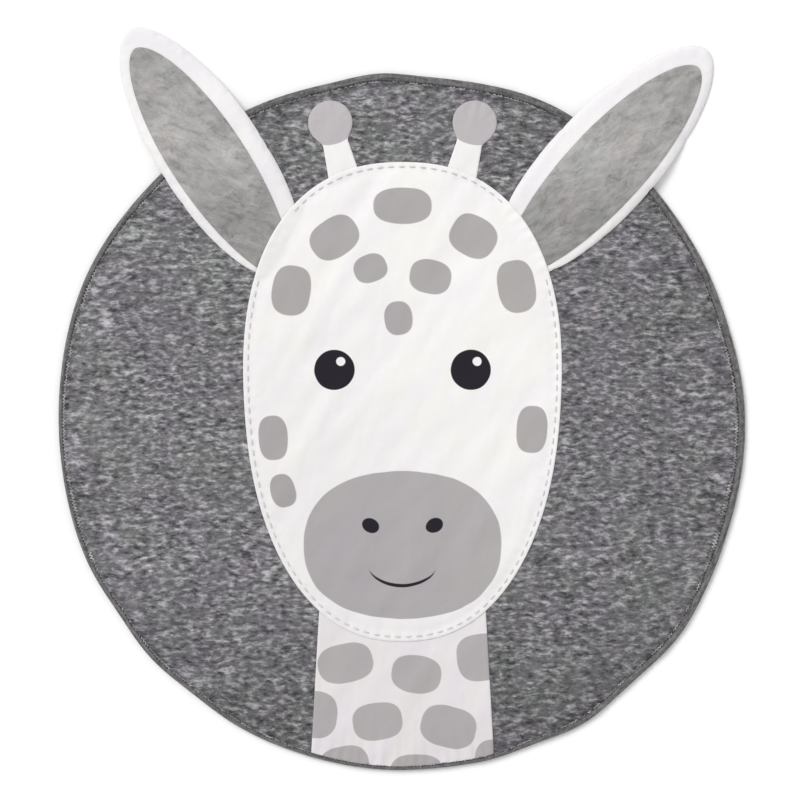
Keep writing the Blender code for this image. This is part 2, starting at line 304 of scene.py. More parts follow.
@dataclass(frozen=True)
class Rim:
    """The uneven round rim and the binding on it."""

    radius: float = 0.499
    seam_steps: int = 720
    waves: tuple[RimWave, ...] = (
        RimWave(17, -0.0085, 9),
        RimWave(-5, -0.0040, 9),
        RimWave(35, -0.0050, 8),
        RimWave(66, 0.0070, 8),
        RimWave(94, 0.0055, 4),
        RimWave(118, 0.0045, 9),
        RimWave(154, 0.0040, 9),
        RimWave(186, -0.0035, 13),
        RimWave(214, -0.0050, 5),
        RimWave(232, -0.0045, 5),
        RimWave(268, 0.0022, 9),
        RimWave(285, 0.0030, 4),
        RimWave(301, 0.0075, 5),
        RimWave(322, 0.0050, 5),
        RimWave(342, -0.0030, 6),
    )
    # the binding's width at some angles in degrees
    widths: tuple[tuple[float, float], ...] = (
        (0, 0.0110), (45, 0.0125), (90, 0.0120), (130, 0.0110), (165, 0.0080), (188, 0.0060),
        (215, 0.0085), (245, 0.0070), (268, 0.0055), (292, 0.0075), (315, 0.0110),
    )

    def outer(self, angles: np.ndarray) -> np.ndarray:
        """Outer radius at some angles.

        Args:
            angles: angles in radians.

        Returns:
            One radius for each angle.
        """
        result = np.full(angles.shape, self.radius)
        for wave in self.waves:
            result += wave.rise * rim_bell(angles, wave.angle_deg, wave.spread_deg)
        return result

    def width(self, angles: np.ndarray) -> np.ndarray:
        """Width of the binding at some angles, as seen from above."""
        rows = np.array(self.widths)
        return np.interp(np.degrees(angles), rows[:, 0], rows[:, 1], period=360.0)

    def seam(self) -> np.ndarray:
        """Outline of the seam between body and binding."""
        angles = np.linspace(0.0, 2.0 * math.pi, self.seam_steps, endpoint=False)
        return from_polar(self.outer(angles) - self.width(angles), angles)

    def inside_seam(self, points: np.ndarray) -> np.ndarray:
        """Distance from the seam towards the middle."""
        angles = np.arctan2(points[:, 1], points[:, 0])
        return self.outer(angles) - self.width(angles) - np.hypot(points[:, 0], points[:, 1])

    def past_rim(self, points: np.ndarray) -> np.ndarray:
        """Distance out from the rim."""
        angles = np.arctan2(points[:, 1], points[:, 0])
        return np.hypot(points[:, 0], points[:, 1]) - self.outer(angles)


@dataclass(frozen=True)
class Egg:
    """Outline of the head panel: a superellipse, wider at the top."""

    centre_y: float = 0.030
    half_height: float = 0.345
    half_width: float = 0.228
    power: float = 2.3
    taper: float = 0.08
    steps: int = 900

    def outline(self, inset: float = 0.0) -> np.ndarray:
        """The outline, or the same form drawn a little smaller.

        Args:
            inset: what the half sizes lose.

        Returns:
            The outline's points in order.
        """
        angles = np.linspace(0.0, 2.0 * math.pi, self.steps, endpoint=False)
        cosine, sine = np.cos(angles), np.sin(angles)
        across = np.sign(cosine) * np.abs(cosine) ** (2.0 / self.power)
        along = np.sign(sine) * np.abs(sine) ** (2.0 / self.power)
        x = (self.half_width - inset) * across * (1.0 + self.taper * along)
        return np.column_stack([x, self.centre_y + (self.half_height - inset) * along])

    def covers(self, points: np.ndarray, inset: float = 0.0) -> np.ndarray:
        """Which points lie inside the outline.

        Args:
            points: one row for each point.
            inset: what the half sizes lose.

        Returns:
            One truth value for each point.
        """
        along = (points[:, 1] - self.centre_y) / (self.half_height - inset)
        across = points[:, 0] / ((self.half_width - inset) * (1.0 + self.taper * along))
        return np.abs(across) ** self.power + np.abs(along) ** self.power < 1.0


@dataclass(frozen=True)
class Column:
    """Outline of the neck panel, which runs past the rim and is cut off there."""

    top_y: float = -0.254
    bottom_y: float = -0.520
    top_half_width: float = 0.119
    bottom_half_width: float = 0.134

    def half_width(self, y: np.ndarray) -> np.ndarray:
        """Half width at some heights."""
        return np.interp(y, [self.bottom_y, self.top_y], [self.bottom_half_width, self.top_half_width])

    def outline(self) -> np.ndarray:
        """The four corners."""
        top, bottom = self.top_half_width, self.bottom_half_width
        return np.array([(-top, self.top_y), (-bottom, self.bottom_y),
                         (bottom, self.bottom_y), (top, self.top_y)])

    def covers(self, points: np.ndarray) -> np.ndarray:
        """Which points lie inside the column."""
        between = (points[:, 1] > self.bottom_y) & (points[:, 1] < self.top_y)
        return between & (np.abs(points[:, 0]) < self.half_width(points[:, 1]))


# where each pucker of a horn's knob points in degrees, half its length, and its rise
TIP_PUCKERS = (
    (8.0, 0.007, 0.0009),
    (38.0, 0.009, 0.0012),
    (62.0, 0.007, 0.0010),
    (88.0, 0.010, 0.0013),
    (112.0, 0.007, 0.0009),
    (139.0, 0.009, 0.0012),
    (171.0, 0.007, 0.0010),
)


@dataclass(frozen=True)
class Horn:
    """Outline of a horn panel: a slim stem with a round knob."""

    side: Side
    root: tuple[float, float] = (0.080, 0.338)
    knob: tuple[float, float] = (0.104, 0.432)
    root_half_width: float = 0.024
    stem_half_width: float = 0.018
    knob_radius: float = 0.032
    fillet_power: float = 5.0
    pucker_share: float = 0.78
    pucker_half_width: float = 0.0024
    steps: int = 120

    def axis(self) -> tuple[np.ndarray, np.ndarray, float]:
        """The horn's middle line.

        Returns:
            Root, unit direction and distance to the knob's centre.
        """
        flip = np.array([self.side.value, 1.0])
        root, knob = np.array(self.root) * flip, np.array(self.knob) * flip
        length = float(np.hypot(*(knob - root)))
        return root, (knob - root) / length, length

    def half_widths(self, along: np.ndarray) -> np.ndarray:
        """Half width at some distances from the root, with a small fillet where stem and knob meet.

        Args:
            along: distances from the root.

        Returns:
            One half width for each distance.
        """
        length = self.axis()[2]
        neck = length - math.sqrt(self.knob_radius ** 2 - self.stem_half_width ** 2)
        stem = np.interp(along, [0.0, neck, length], [self.root_half_width, self.stem_half_width, 0.0])
        knob = np.sqrt(np.maximum(self.knob_radius ** 2 - (along - length) ** 2, 0.0))
        power = self.fillet_power
        return (stem ** power + knob ** power) ** (1.0 / power)

    def outline(self) -> np.ndarray:
        """The outline, from the root round the knob and back."""
        root, along, length = self.axis()
        return two_sided(root, along, length + self.knob_radius, self.steps, self.half_widths)

    def covers(self, points: np.ndarray) -> np.ndarray:
        """Which points lie inside the horn.

        Args:
            points: one row for each point.

        Returns:
            One truth value for each point.
        """
        root, along, length = self.axis()
        distance = (points - root) @ along
        offset = np.abs((points - root) @ np.array([-along[1], along[0]]))
        ends = (distance > 0.0) & (distance < length + self.knob_radius)
        return ends & (offset < self.half_widths(distance))

    def tip_creases(self) -> tuple[Fold, ...]:
        """Short puckers that run in from the knob's sewn edge.

        Returns:
            The puckers.
        """
        root, along, length = self.axis()
        knob = root + length * along
        folds = []
        for angle_deg, half_length, rise in TIP_PUCKERS:
            out = np.array([math.cos(math.radians(angle_deg)), math.sin(math.radians(angle_deg))])
            place = knob + self.pucker_share * self.knob_radius * out
            folds.append(Fold(*place, angle_deg, half_length, self.pucker_half_width, rise))
        return tuple(folds)


@dataclass(frozen=True)
class Leaf:
    """Outline of an ear, or of the smaller leaf of lining cloth on it."""

    side: Side
    root: tuple[float, float]
    tip: tuple[float, float]
    half_width: float
    margin: float = 0.0
    shift: float = 0.0
    root_tuck: float = 0.055
    root_overrun: float = 0.005
    widest: float = 0.200
    tip_power: float = 0.55
    tip_share: float = 1.25
    steps: int = 90

    def axis(self) -> tuple[np.ndarray, np.ndarray, np.ndarray, float]:
        """The leaf's middle line.

        Returns:
            Its start, unit directions along and across, and its length.
        """
        root, tip = np.array(self.root), np.array(self.tip)
        along = (tip - root) / np.hypot(*(tip - root))
        start = root - self.root_tuck * along
        across = np.array([-along[1], along[0]])
        length = float(np.hypot(*(tip - start))) - self.tip_share * self.margin
        return start, along, across, length

    def half_widths(self, distance: np.ndarray) -> np.ndarray:
        """Half width at some distances from the start.

        Args:
            distance: distances from the start.

        Returns:
            One half width for each distance.
        """
        length = self.axis()[3]
        before = self.widest + self.root_overrun
        after = length - self.widest
        rise = (np.maximum(distance + self.root_overrun, 0.0) / before) ** (self.tip_power * before / after)
        fall = (np.maximum(length - distance, 0.0) / after) ** self.tip_power
        return (self.half_width - self.margin) * rise * fall

    def outline(self) -> np.ndarray:
        """The outline, from the start along one side to the tip and back."""
        start, along, across, length = self.axis()
        return two_sided(start + self.shift * across, along, length, self.steps, self.half_widths)

    def local(self, points: np.ndarray) -> tuple[np.ndarray, np.ndarray]:
        """Distances of some points along the ear and across it."""
        start, along, across, _ = self.axis()
        return (points - start) @ along, (points - start) @ across - self.shift

    def covers(self, points: np.ndarray) -> np.ndarray:
        """Which points lie inside the leaf.

        Args:
            points: one row for each point.

        Returns:
            One truth value for each point.
        """
        distance, offset = self.local(points)
        inside = (distance > 0.0) & (distance < self.axis()[3])
        return inside & (np.abs(offset) < self.half_widths(distance))


# Flat patterns and the meshes made from them


@dataclass(frozen=True)
class Pattern:
    """A flat cut piece of cloth as small triangles, all wound the same way."""

    points: np.ndarray
    triangles: np.ndarray
    border: np.ndarray
    from_edge: np.ndarray

    @property
    def area(self) -> float:
        """Area of the cut cloth in square metres."""
        return float(0.5 * np.abs(doubled_areas(self.points, self.triangles)).sum())

    def back_numbers(self) -> tuple[np.ndarray, np.ndarray]:
        """Numbers of a second layer's points, where the layers share those of the border.

        Returns:
            The points inside the border, and each point's number in the second layer.
        """
        count = len(self.points)
        inner = np.setdiff1d(np.arange(count), np.unique(self.border))
        numbers = np.arange(count)
        numbers[inner] = count + np.arange(len(inner))
        return inner, numbers

    def flat_size(self, along: np.ndarray | None = None) -> tuple[float, float]:
        """Width and length of the cut cloth.

        Args:
            along: unit direction of its length, or None for +Y.

        Returns:
            Width and length in metres.
        """
        along = np.array([0.0, 1.0]) if along is None else along
        across = np.array([-along[1], along[0]])
        return float(np.ptp(self.points @ across)), float(np.ptp(self.points @ along))


def doubled_areas(points: np.ndarray, triangles: np.ndarray) -> np.ndarray:
    """Twice the area of each triangle, negative where it runs clockwise."""
    a, b, c = (points[triangles[:, corner]] for corner in range(3))
    return np.cross(b - a, c - a)


def cut(lines: list[np.ndarray], covers: Cover, step: float) -> Pattern:
    """Cuts a flat pattern along some lines.

    Args:
        lines: closed outlines that the triangles' edges follow.
        covers: says which points belong to the piece.
        step: distance between the points of the pattern.

    Returns:
        The pattern.
    """
    guides = [resampled(line, step) for line in lines]
    starts = np.concatenate(guides)
    ends = np.concatenate([np.roll(guide, -1, axis=0) for guide in guides])
    near = []
    for inset in EDGE_RINGS:
        for guide in guides:
            for turn in (-inset, inset):
                ring = guide + turn * normals_of(guide)
                ring = ring[covers(ring)]
                near.append(ring[segment_distance(ring, starts, ends) > RING_ROOM * inset])
    grid = hex_grid(step, starts.min(axis=0), starts.max(axis=0))
    grid = grid[covers(grid)]
    grid = grid[segment_distance(grid, starts, ends) > EDGE_RINGS[-1] + GRID_ROOM * step]
    edges, first = [], 0
    for guide in guides:
        count = len(guide)
        edges += [(first + i, first + (i + 1) % count) for i in range(count)]
        first += count
    corners = np.concatenate([*guides, *near, grid])
    places, _, faces, *_ = delaunay_2d_cdt([Vector(p) for p in corners], edges, [], 0, SAMENESS)
    points = np.array([tuple(p) for p in places])
    triangles = np.array(faces)
    triangles = triangles[covers(points[triangles].mean(axis=1))]
    used, triangles = np.unique(triangles, return_inverse=True)
    points, triangles = points[used], triangles.reshape(-1, 3)
    wrong = doubled_areas(points, triangles) < 0.0
    triangles[wrong] = triangles[wrong][:, ::-1]
    border = border_of(triangles)
    from_edge = segment_distance(points, points[border[:, 0]], points[border[:, 1]])
    return Pattern(points, triangles, border, from_edge)


def border_of(triangles: np.ndarray) -> np.ndarray:
    """Edges that only one triangle has.

    Args:
        triangles: corner numbers, one row each.

    Returns:
        Two corner numbers for each edge, as its triangle runs round it.
    """
    edges = np.concatenate([triangles[:, (0, 1)], triangles[:, (1, 2)], triangles[:, (2, 0)]])
    size = int(triangles.max()) + 1
    forward = edges[:, 0] * size + edges[:, 1]
    backward = edges[:, 1] * size + edges[:, 0]
    return edges[~np.isin(forward, backward)]


def new_piece(name: str, vertices: np.ndarray, faces: list[Sequence[int]],
              finish: bpy.types.Material) -> bpy.types.Object:
    """Makes a smooth mesh object at the origin.

    Args:
        name: name of the piece.
        vertices: one row for each vertex.
        faces: corner numbers of each face.
        finish: its material.

    Returns:
        The new object.
    """
    mesh = bpy.data.meshes.new(name)
    mesh.from_pydata(vertices.tolist(), [], faces)
    mesh.shade_smooth()
    mesh.materials.append(finish)
    piece = bpy.data.objects.new(name, mesh)
    bpy.context.scene.collection.objects.link(piece)
    return piece


def cloth_piece(name: str, pattern: Pattern, bottom: np.ndarray, top: np.ndarray,
                finish: bpy.types.Material) -> bpy.types.Object:
    """Makes a closed sheet from a pattern.

    Args:
        name: name of the piece.
        pattern: the flat cut.
        bottom: height of the underside at each point.
        top: height of the face side at each point.
        finish: its material.

    Returns:
        The new object.
    """
    count = len(pattern.points)
    low = np.column_stack([pattern.points, bottom])
    high = np.column_stack([pattern.points, top])
    faces = (pattern.triangles + count).tolist() + pattern.triangles[:, ::-1].tolist()
    faces += [(a, b, b + count, a + count) for a, b in pattern.border.tolist()]
    return new_piece(name, np.vstack([low, high]), faces, finish)


def seat(piece: bpy.types.Object, slot: Slot, *nodes: str) -> None:
    """Hands a finished piece to the frame and reports it.

    Args:
        piece: the finished object.
        slot: not used.
        nodes: the part's nodes that the piece stands for.
    """
    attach(piece, "root")
    if nodes:
        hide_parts(*nodes)
    LOG.info("%s: %d faces", piece.name, len(piece.data.polygons))


def lay_sheet(piece: bpy.types.Object, pattern: Pattern, flat: tuple[float, float]) -> None:
    """Logs the size and area of a flat cut of cloth.

    Args:
        piece: the seated piece.
        pattern: its flat cut.
        flat: width and length of the cut.
    """
    LOG.info("%s: cut %.3f x %.3f m, %.4f square metres", piece.name, *flat, pattern.area)


@dataclass
class Terrain:
    """Heights of all that is laid so far, on an even raster."""

    reach: float = 0.640
    step: float = 0.002
    ceiling: float = 0.200
    spread: int = 12

    def __post_init__(self) -> None:
        """Starts with the bare floor."""
        self.axis = np.arange(-self.reach, self.reach + 0.5 * self.step, self.step)
        self.heights = np.zeros((len(self.axis), len(self.axis)))

    def raise_by(self, piece: bpy.types.Object) -> None:
        """Adds a piece by rays from above.

        Args:
            piece: a finished mesh object at the origin.
        """
        bpy.context.view_layer.update()
        tree = BVHTree.FromObject(piece, bpy.context.evaluated_depsgraph_get())
        places = np.array([v.co.xy for v in piece.data.vertices])
        low = np.searchsorted(self.axis, places.min(axis=0))
        high = np.searchsorted(self.axis, places.max(axis=0))
        down = Vector((0.0, 0.0, -1.0))
        for row in range(low[1], high[1]):
            for column in range(low[0], high[0]):
                start = Vector((self.axis[column], self.axis[row], self.ceiling))
                hit = tree.ray_cast(start, down)[0]
                if hit is not None and hit.z > self.heights[row, column]:
                    self.heights[row, column] = hit.z

    def drape(self, slope: float) -> np.ndarray:
        """Heights of cloth that rests on everything and falls no steeper than a slope.

        Args:
            slope: steepest fall, as rise over run.

        Returns:
            Heights on the same raster.
        """
        result = self.heights.copy()
        for _ in range(self.spread):
            wide = np.pad(result, 1, mode="edge")
            rows, columns = result.shape
            for row in (0, 1, 2):
                for column in (0, 1, 2):
                    fall = slope * self.step * math.hypot(row - 1, column - 1)
                    moved = wide[row:row + rows, column:column + columns]
                    np.maximum(result, moved - fall, out=result)
        return result

    def read(self, points: np.ndarray, heights: np.ndarray | None = None) -> np.ndarray:
        """Heights at some points.

        Args:
            points: one row for each point.
            heights: a draped raster, or None for the plain one.

        Returns:
            One height for each point.
        """
        heights = self.heights if heights is None else heights
        place = (points - self.axis[0]) / self.step
        whole = np.clip(place.astype(int), 0, len(self.axis) - 2)
        share = place - whole
        column, row = whole[:, 0], whole[:, 1]
        across, up = share[:, 0], share[:, 1]
        lower = heights[row, column] * (1.0 - across) + heights[row, column + 1] * across
        upper = heights[row + 1, column] * (1.0 - across) + heights[row + 1, column + 1] * across
        return lower * (1.0 - up) + upper * up


# Materials


class Bench:
    """Places, sets and links the nodes of one tree."""

    def __init__(self, tree: bpy.types.NodeTree) -> None:
        """Works on a given tree."""
        self.tree = tree

    def node(self, kind: str, inputs: dict | None = None, **settings: object) -> bpy.types.Node:
        """Adds a node.

        Args:
            kind: Blender's name for the node type.
            inputs: values or sockets by input name or number.
            settings: plain properties of the node.

        Returns:
            The new node.
        """
        made = self.tree.nodes.new(kind)
        for name, value in settings.items():
            setattr(made, name, value)
        for key, value in (inputs or {}).items():
            if isinstance(value, bpy.types.NodeSocket):
                self.tree.links.new(value, made.inputs[key])
            else:
                made.inputs[key].default_value = value
        return made

    def math(self, operation: str, *values: object) -> bpy.types.NodeSocket:
        """Result of a Math node on values or sockets."""
        return self.node("ShaderNodeMath", dict(enumerate(values)), operation=operation).outputs[0]

    def product(self, first: object, *others: object) -> bpy.types.NodeSocket:
        """Some values multiplied together.

        Args:
            first: a socket.
            others: sockets or numbers.

        Returns:
            Their product.
        """
        for other in others:
            first = self.math("MULTIPLY", first, other)
        return first

    def weighted(self, values: Sequence[object], shares: Sequence[float]) -> bpy.types.NodeSocket:
        """Sum of some values, each times its share.

        Args:
            values: sockets.
            shares: one number for each.

        Returns:
            The sum.
        """
        total = self.math("MULTIPLY", values[0], shares[0])
        for value, share in zip(values[1:], shares[1:]):
            total = self.math("MULTIPLY_ADD", value, share, total)
        return total

    def vector_math(self, operation: str, *values: object) -> bpy.types.NodeSocket:
        """Result of a Vector Math node on values or sockets."""
        return self.node("ShaderNodeVectorMath", dict(enumerate(values)), operation=operation).outputs[0]

    def scaled(self, vector: object, scale: Colour) -> bpy.types.NodeSocket:
        """A vector with each axis multiplied."""
        return self.vector_math("MULTIPLY", vector, scale)

    def turned(self, vector: object, angle_deg: float) -> bpy.types.NodeSocket:
        """A vector turned about Z."""
        inputs = {"Vector": vector, "Rotation": (0.0, 0.0, math.radians(angle_deg))}
        return self.node("ShaderNodeMapping", inputs).outputs[0]

    def along(self, vector: object, direction: Colour) -> bpy.types.NodeSocket:
        """How far a place lies along a direction."""
        inputs = {0: vector, 1: direction}
        return self.node("ShaderNodeVectorMath", inputs, operation="DOT_PRODUCT").outputs["Value"]

    def blend(self, share: object, first: object, second: object, mode: str = "MIX") -> bpy.types.NodeSocket:
        """A mix of two colours.

        Args:
            share: share of the second colour.
            first: a socket, or a plain colour of three numbers.
            second: the same.
            mode: Blender's name for the way of mixing.

        Returns:
            The mixed colour.
        """
        colours = [(*c, 1.0) if isinstance(c, tuple) else c for c in (first, second)]
        inputs = {0: share, 6: colours[0], 7: colours[1]}
        return self.node("ShaderNodeMix", inputs, data_type="RGBA", blend_type=mode).outputs[2]

    def tinted(self, colour: object, *tints: object) -> bpy.types.NodeSocket:
        """A colour multiplied by others.

        Args:
            colour: a socket, or a plain colour of three numbers.
            tints: sockets.

        Returns:
            The darker or tinted colour.
        """
        for tint in tints:
            colour = self.blend(1.0, colour, tint, "MULTIPLY")
        return colour

    def grey(self, value: object) -> bpy.types.NodeSocket:
        """A value as a grey colour."""
        return self.node("ShaderNodeCombineColor", {0: value, 1: value, 2: value}).outputs[0]

    def group(self, tree: bpy.types.NodeTree, **values: object) -> bpy.types.NodeSocket:
        """Adds a node group with its values, underscores standing for spaces, and gives its result."""
        inputs = {name.replace("_", " "): value for name, value in values.items()}
        return self.node("ShaderNodeGroup", inputs, node_tree=tree).outputs[0]


@dataclass(frozen=True)
class Ramp:
    """Takes a value from one range to another, held at both ends."""

    low: float
    high: float
    to_low: float = 0.0
    to_high: float = 1.0

    def on(self, bench: Bench, value: object) -> bpy.types.NodeSocket:
        """The value after the ramp."""
        inputs = {"Value": value, "From Min": self.low, "From Max": self.high,
                  "To Min": self.to_low, "To Max": self.to_high}
        return bench.node("ShaderNodeMapRange", inputs).outputs[0]


@dataclass(frozen=True)
class Grain:
    """Soft noise about 0.5, with its own count a metre on each axis."""

    count: Colour
    detail: float = 2.0
    roughness: float = 0.5

    def on(self, bench: Bench, place: object) -> bpy.types.NodeSocket:
        """The noise at a place."""
        inputs = {"Vector": bench.scaled(place, self.count), "Scale": 1.0, "Detail": self.detail,
                  "Roughness": self.roughness}
        return bench.node("ShaderNodeTexNoise", inputs).outputs[0]


@dataclass(frozen=True)
class Drift:
    """Pushes places about by soft noise."""

    scale: float
    detail: float
    reach: Colour
    middle: Colour = (0.5, 0.5, 0.5)

    def on(self, bench: Bench, place: object) -> bpy.types.NodeSocket:
        """The place after the push.

        Args:
            bench: where the nodes go.
            place: coordinates in metres.

        Returns:
            The new coordinates.
        """
        inputs = {"Vector": place, "Scale": self.scale, "Detail": self.detail}
        noise = bench.node("ShaderNodeTexNoise", inputs)
        push = bench.vector_math("SUBTRACT", noise.outputs[1], self.middle)
        return bench.vector_math("ADD", place, bench.scaled(push, self.reach))


def new_group(name: str, inputs: dict[str, str],
              outputs: dict[str, str]) -> tuple[Bench, dict[str, bpy.types.NodeSocket], bpy.types.Node]:
    """Starts a shader node group.

    Args:
        name: name of the group.
        inputs: socket types by name.
        outputs: socket types by name.

    Returns:
        Its bench, its input sockets by name, and its output node.
    """
    tree = bpy.data.node_groups.new(name, "ShaderNodeTree")
    for socket, kind in inputs.items():
        tree.interface.new_socket(socket, in_out="INPUT", socket_type=kind)
    for socket, kind in outputs.items():
        tree.interface.new_socket(socket, in_out="OUTPUT", socket_type=kind)
    bench = Bench(tree)
    entry = bench.node("NodeGroupInput")
    return bench, {socket: entry.outputs[socket] for socket in inputs}, bench.node("NodeGroupOutput")


FLOAT, VECTOR = "NodeSocketFloat", "NodeSocketVector"
ALONG_Y: Colour = (0.0, 1.0, 0.0)
PLAIN: Colour = (1.0, 1.0, 1.0)
WEAVE_SWAY = Drift(900.0, 2.0, (0.0003, 0.0003, 0.0), (0.0, 0.0, 0.0))
WEAVE_SLUB = Grain((700.0, 700.0, 700.0), 3.0)
WEAVE_CROSSING = 0.35
MOTTLE_RANGE = Ramp(0.30, 0.70)
SHEEN_ROUGHNESS = 0.6


def plain_weave_group() -> bpy.types.NodeTree:
    """Makes the group for the height of an uneven plain weave.

    Returns:
        The group, with Vector in metres and Threads for each metre.
    """
    bench, given, out = new_group("plain_weave", {"Vector": VECTOR, "Threads": FLOAT}, {"Height": FLOAT})
    split = bench.node("ShaderNodeSeparateXYZ", {0: WEAVE_SWAY.on(bench, given["Vector"])})
    waves = [bench.math("SINE", bench.product(split.outputs[axis], given["Threads"], math.pi))
             for axis in (0, 1)]
    slub = WEAVE_SLUB.on(bench, given["Vector"])
    height = bench.math("MULTIPLY_ADD", bench.product(*waves), WEAVE_CROSSING, slub)
    bench.tree.links.new(height, out.inputs["Height"])
    return bench.tree


def soft_mottle_group() -> bpy.types.NodeTree:
    """Makes the group for soft patches from 0 to 1.

    Returns:
        The group, with Vector in metres and Scale of the patches.
    """
    bench, given, out = new_group("soft_mottle", {"Vector": VECTOR, "Scale": FLOAT}, {"Value": FLOAT})
    inputs = {"Vector": given["Vector"], "Scale": given["Scale"], "Detail": 4.0, "Roughness": 0.55}
    noise = bench.node("ShaderNodeTexNoise", inputs).outputs[0]
    bench.tree.links.new(MOTTLE_RANGE.on(bench, noise), out.inputs["Value"])
    return bench.tree


def print_spot_group() -> bpy.types.NodeTree:
    """Makes the group for one printed spot of superellipse form.

    Returns:
        The group, whose mask is 1 inside the spot.
    """
    inputs = {"Vector": VECTOR, "Centre": VECTOR, "Turn": VECTOR, "Half Size": VECTOR,
              "Power": FLOAT, "Softness": FLOAT}
    bench, given, out = new_group("print_spot", inputs, {"Mask": FLOAT})
    placing = {"Vector": given["Vector"], "Location": given["Centre"], "Rotation": given["Turn"],
               "Scale": given["Half Size"]}
    placed = bench.node("ShaderNodeMapping", placing, vector_type="TEXTURE")
    split = bench.node("ShaderNodeSeparateXYZ", {0: placed.outputs[0]})
    powers = [bench.math("POWER", bench.math("ABSOLUTE", split.outputs[axis]), given["Power"])
              for axis in (0, 1)]
    total = bench.math("ADD", *powers)
    past = bench.math("DIVIDE", bench.math("SUBTRACT", total, 1.0), given["Softness"])
    bench.tree.links.new(Ramp(1.0, -1.0).on(bench, past), out.inputs["Mask"])
    return bench.tree


class Effects:
    """The node groups that the finishes share, each made once."""

    def __init__(self) -> None:
        """Makes the groups."""
        self.weave = plain_weave_group()
        self.mottle = soft_mottle_group()
        self.spot = print_spot_group()


@dataclass(frozen=True)
class Surface:
    """A new material with its bench and its Principled shader."""

    effects: Effects
    material: bpy.types.Material
    bench: Bench
    shader: bpy.types.Node
    place: bpy.types.NodeSocket

    @classmethod
    def start(cls, effects: Effects, name: str, roughness: float, specular: float = 0.15, sheen: float = 0.10,
              follows_cloth: bool = False) -> "Surface":
        """Makes the material.

        Args:
            effects: the shared node groups.
            name: name of the material.
            roughness: plain roughness.
            specular: specular level of the shader.
            sheen: weight of the fibre sheen.
            follows_cloth: whether the pattern reads the piece's own UV map.

        Returns:
            The material, ready for its nodes.
        """
        material = bpy.data.materials.new(name)
        material.use_nodes = True
        bench = Bench(material.node_tree)
        shader = material.node_tree.nodes["Principled BSDF"]
        shader.inputs["Roughness"].default_value = roughness
        shader.inputs["Specular IOR Level"].default_value = specular
        shader.inputs["Sheen Weight"].default_value = sheen
        shader.inputs["Sheen Roughness"].default_value = SHEEN_ROUGHNESS
        place = bench.node("ShaderNodeTexCoord").outputs["UV" if follows_cloth else "Object"]
        return cls(effects, material, bench, shader, place)

    def patches(self, scale: float, place: bpy.types.NodeSocket | None = None) -> bpy.types.NodeSocket:
        """Soft patches from 0 to 1, at the surface's own places or at others."""
        place = self.place if place is None else place
        return self.bench.group(self.effects.mottle, Vector=place, Scale=scale)

    def weave(self, threads: float) -> bpy.types.NodeSocket:
        """Height of a plain weave with some threads for each metre."""
        return self.bench.group(self.effects.weave, Vector=self.place, Threads=threads)

    def colour(self, socket: bpy.types.NodeSocket) -> None:
        """Feeds the base colour."""
        self.bench.tree.links.new(socket, self.shader.inputs["Base Color"])

    def relief(self, height: bpy.types.NodeSocket, distance: float) -> None:
        """Feeds a Bump node.

        Args:
            height: height from 0 to 1.
            distance: what a height of 1 is in metres.
        """
        bump = self.bench.node("ShaderNodeBump", {"Height": height, "Distance": distance, "Strength": 1.0})
        self.bench.tree.links.new(bump.outputs[0], self.shader.inputs["Normal"])


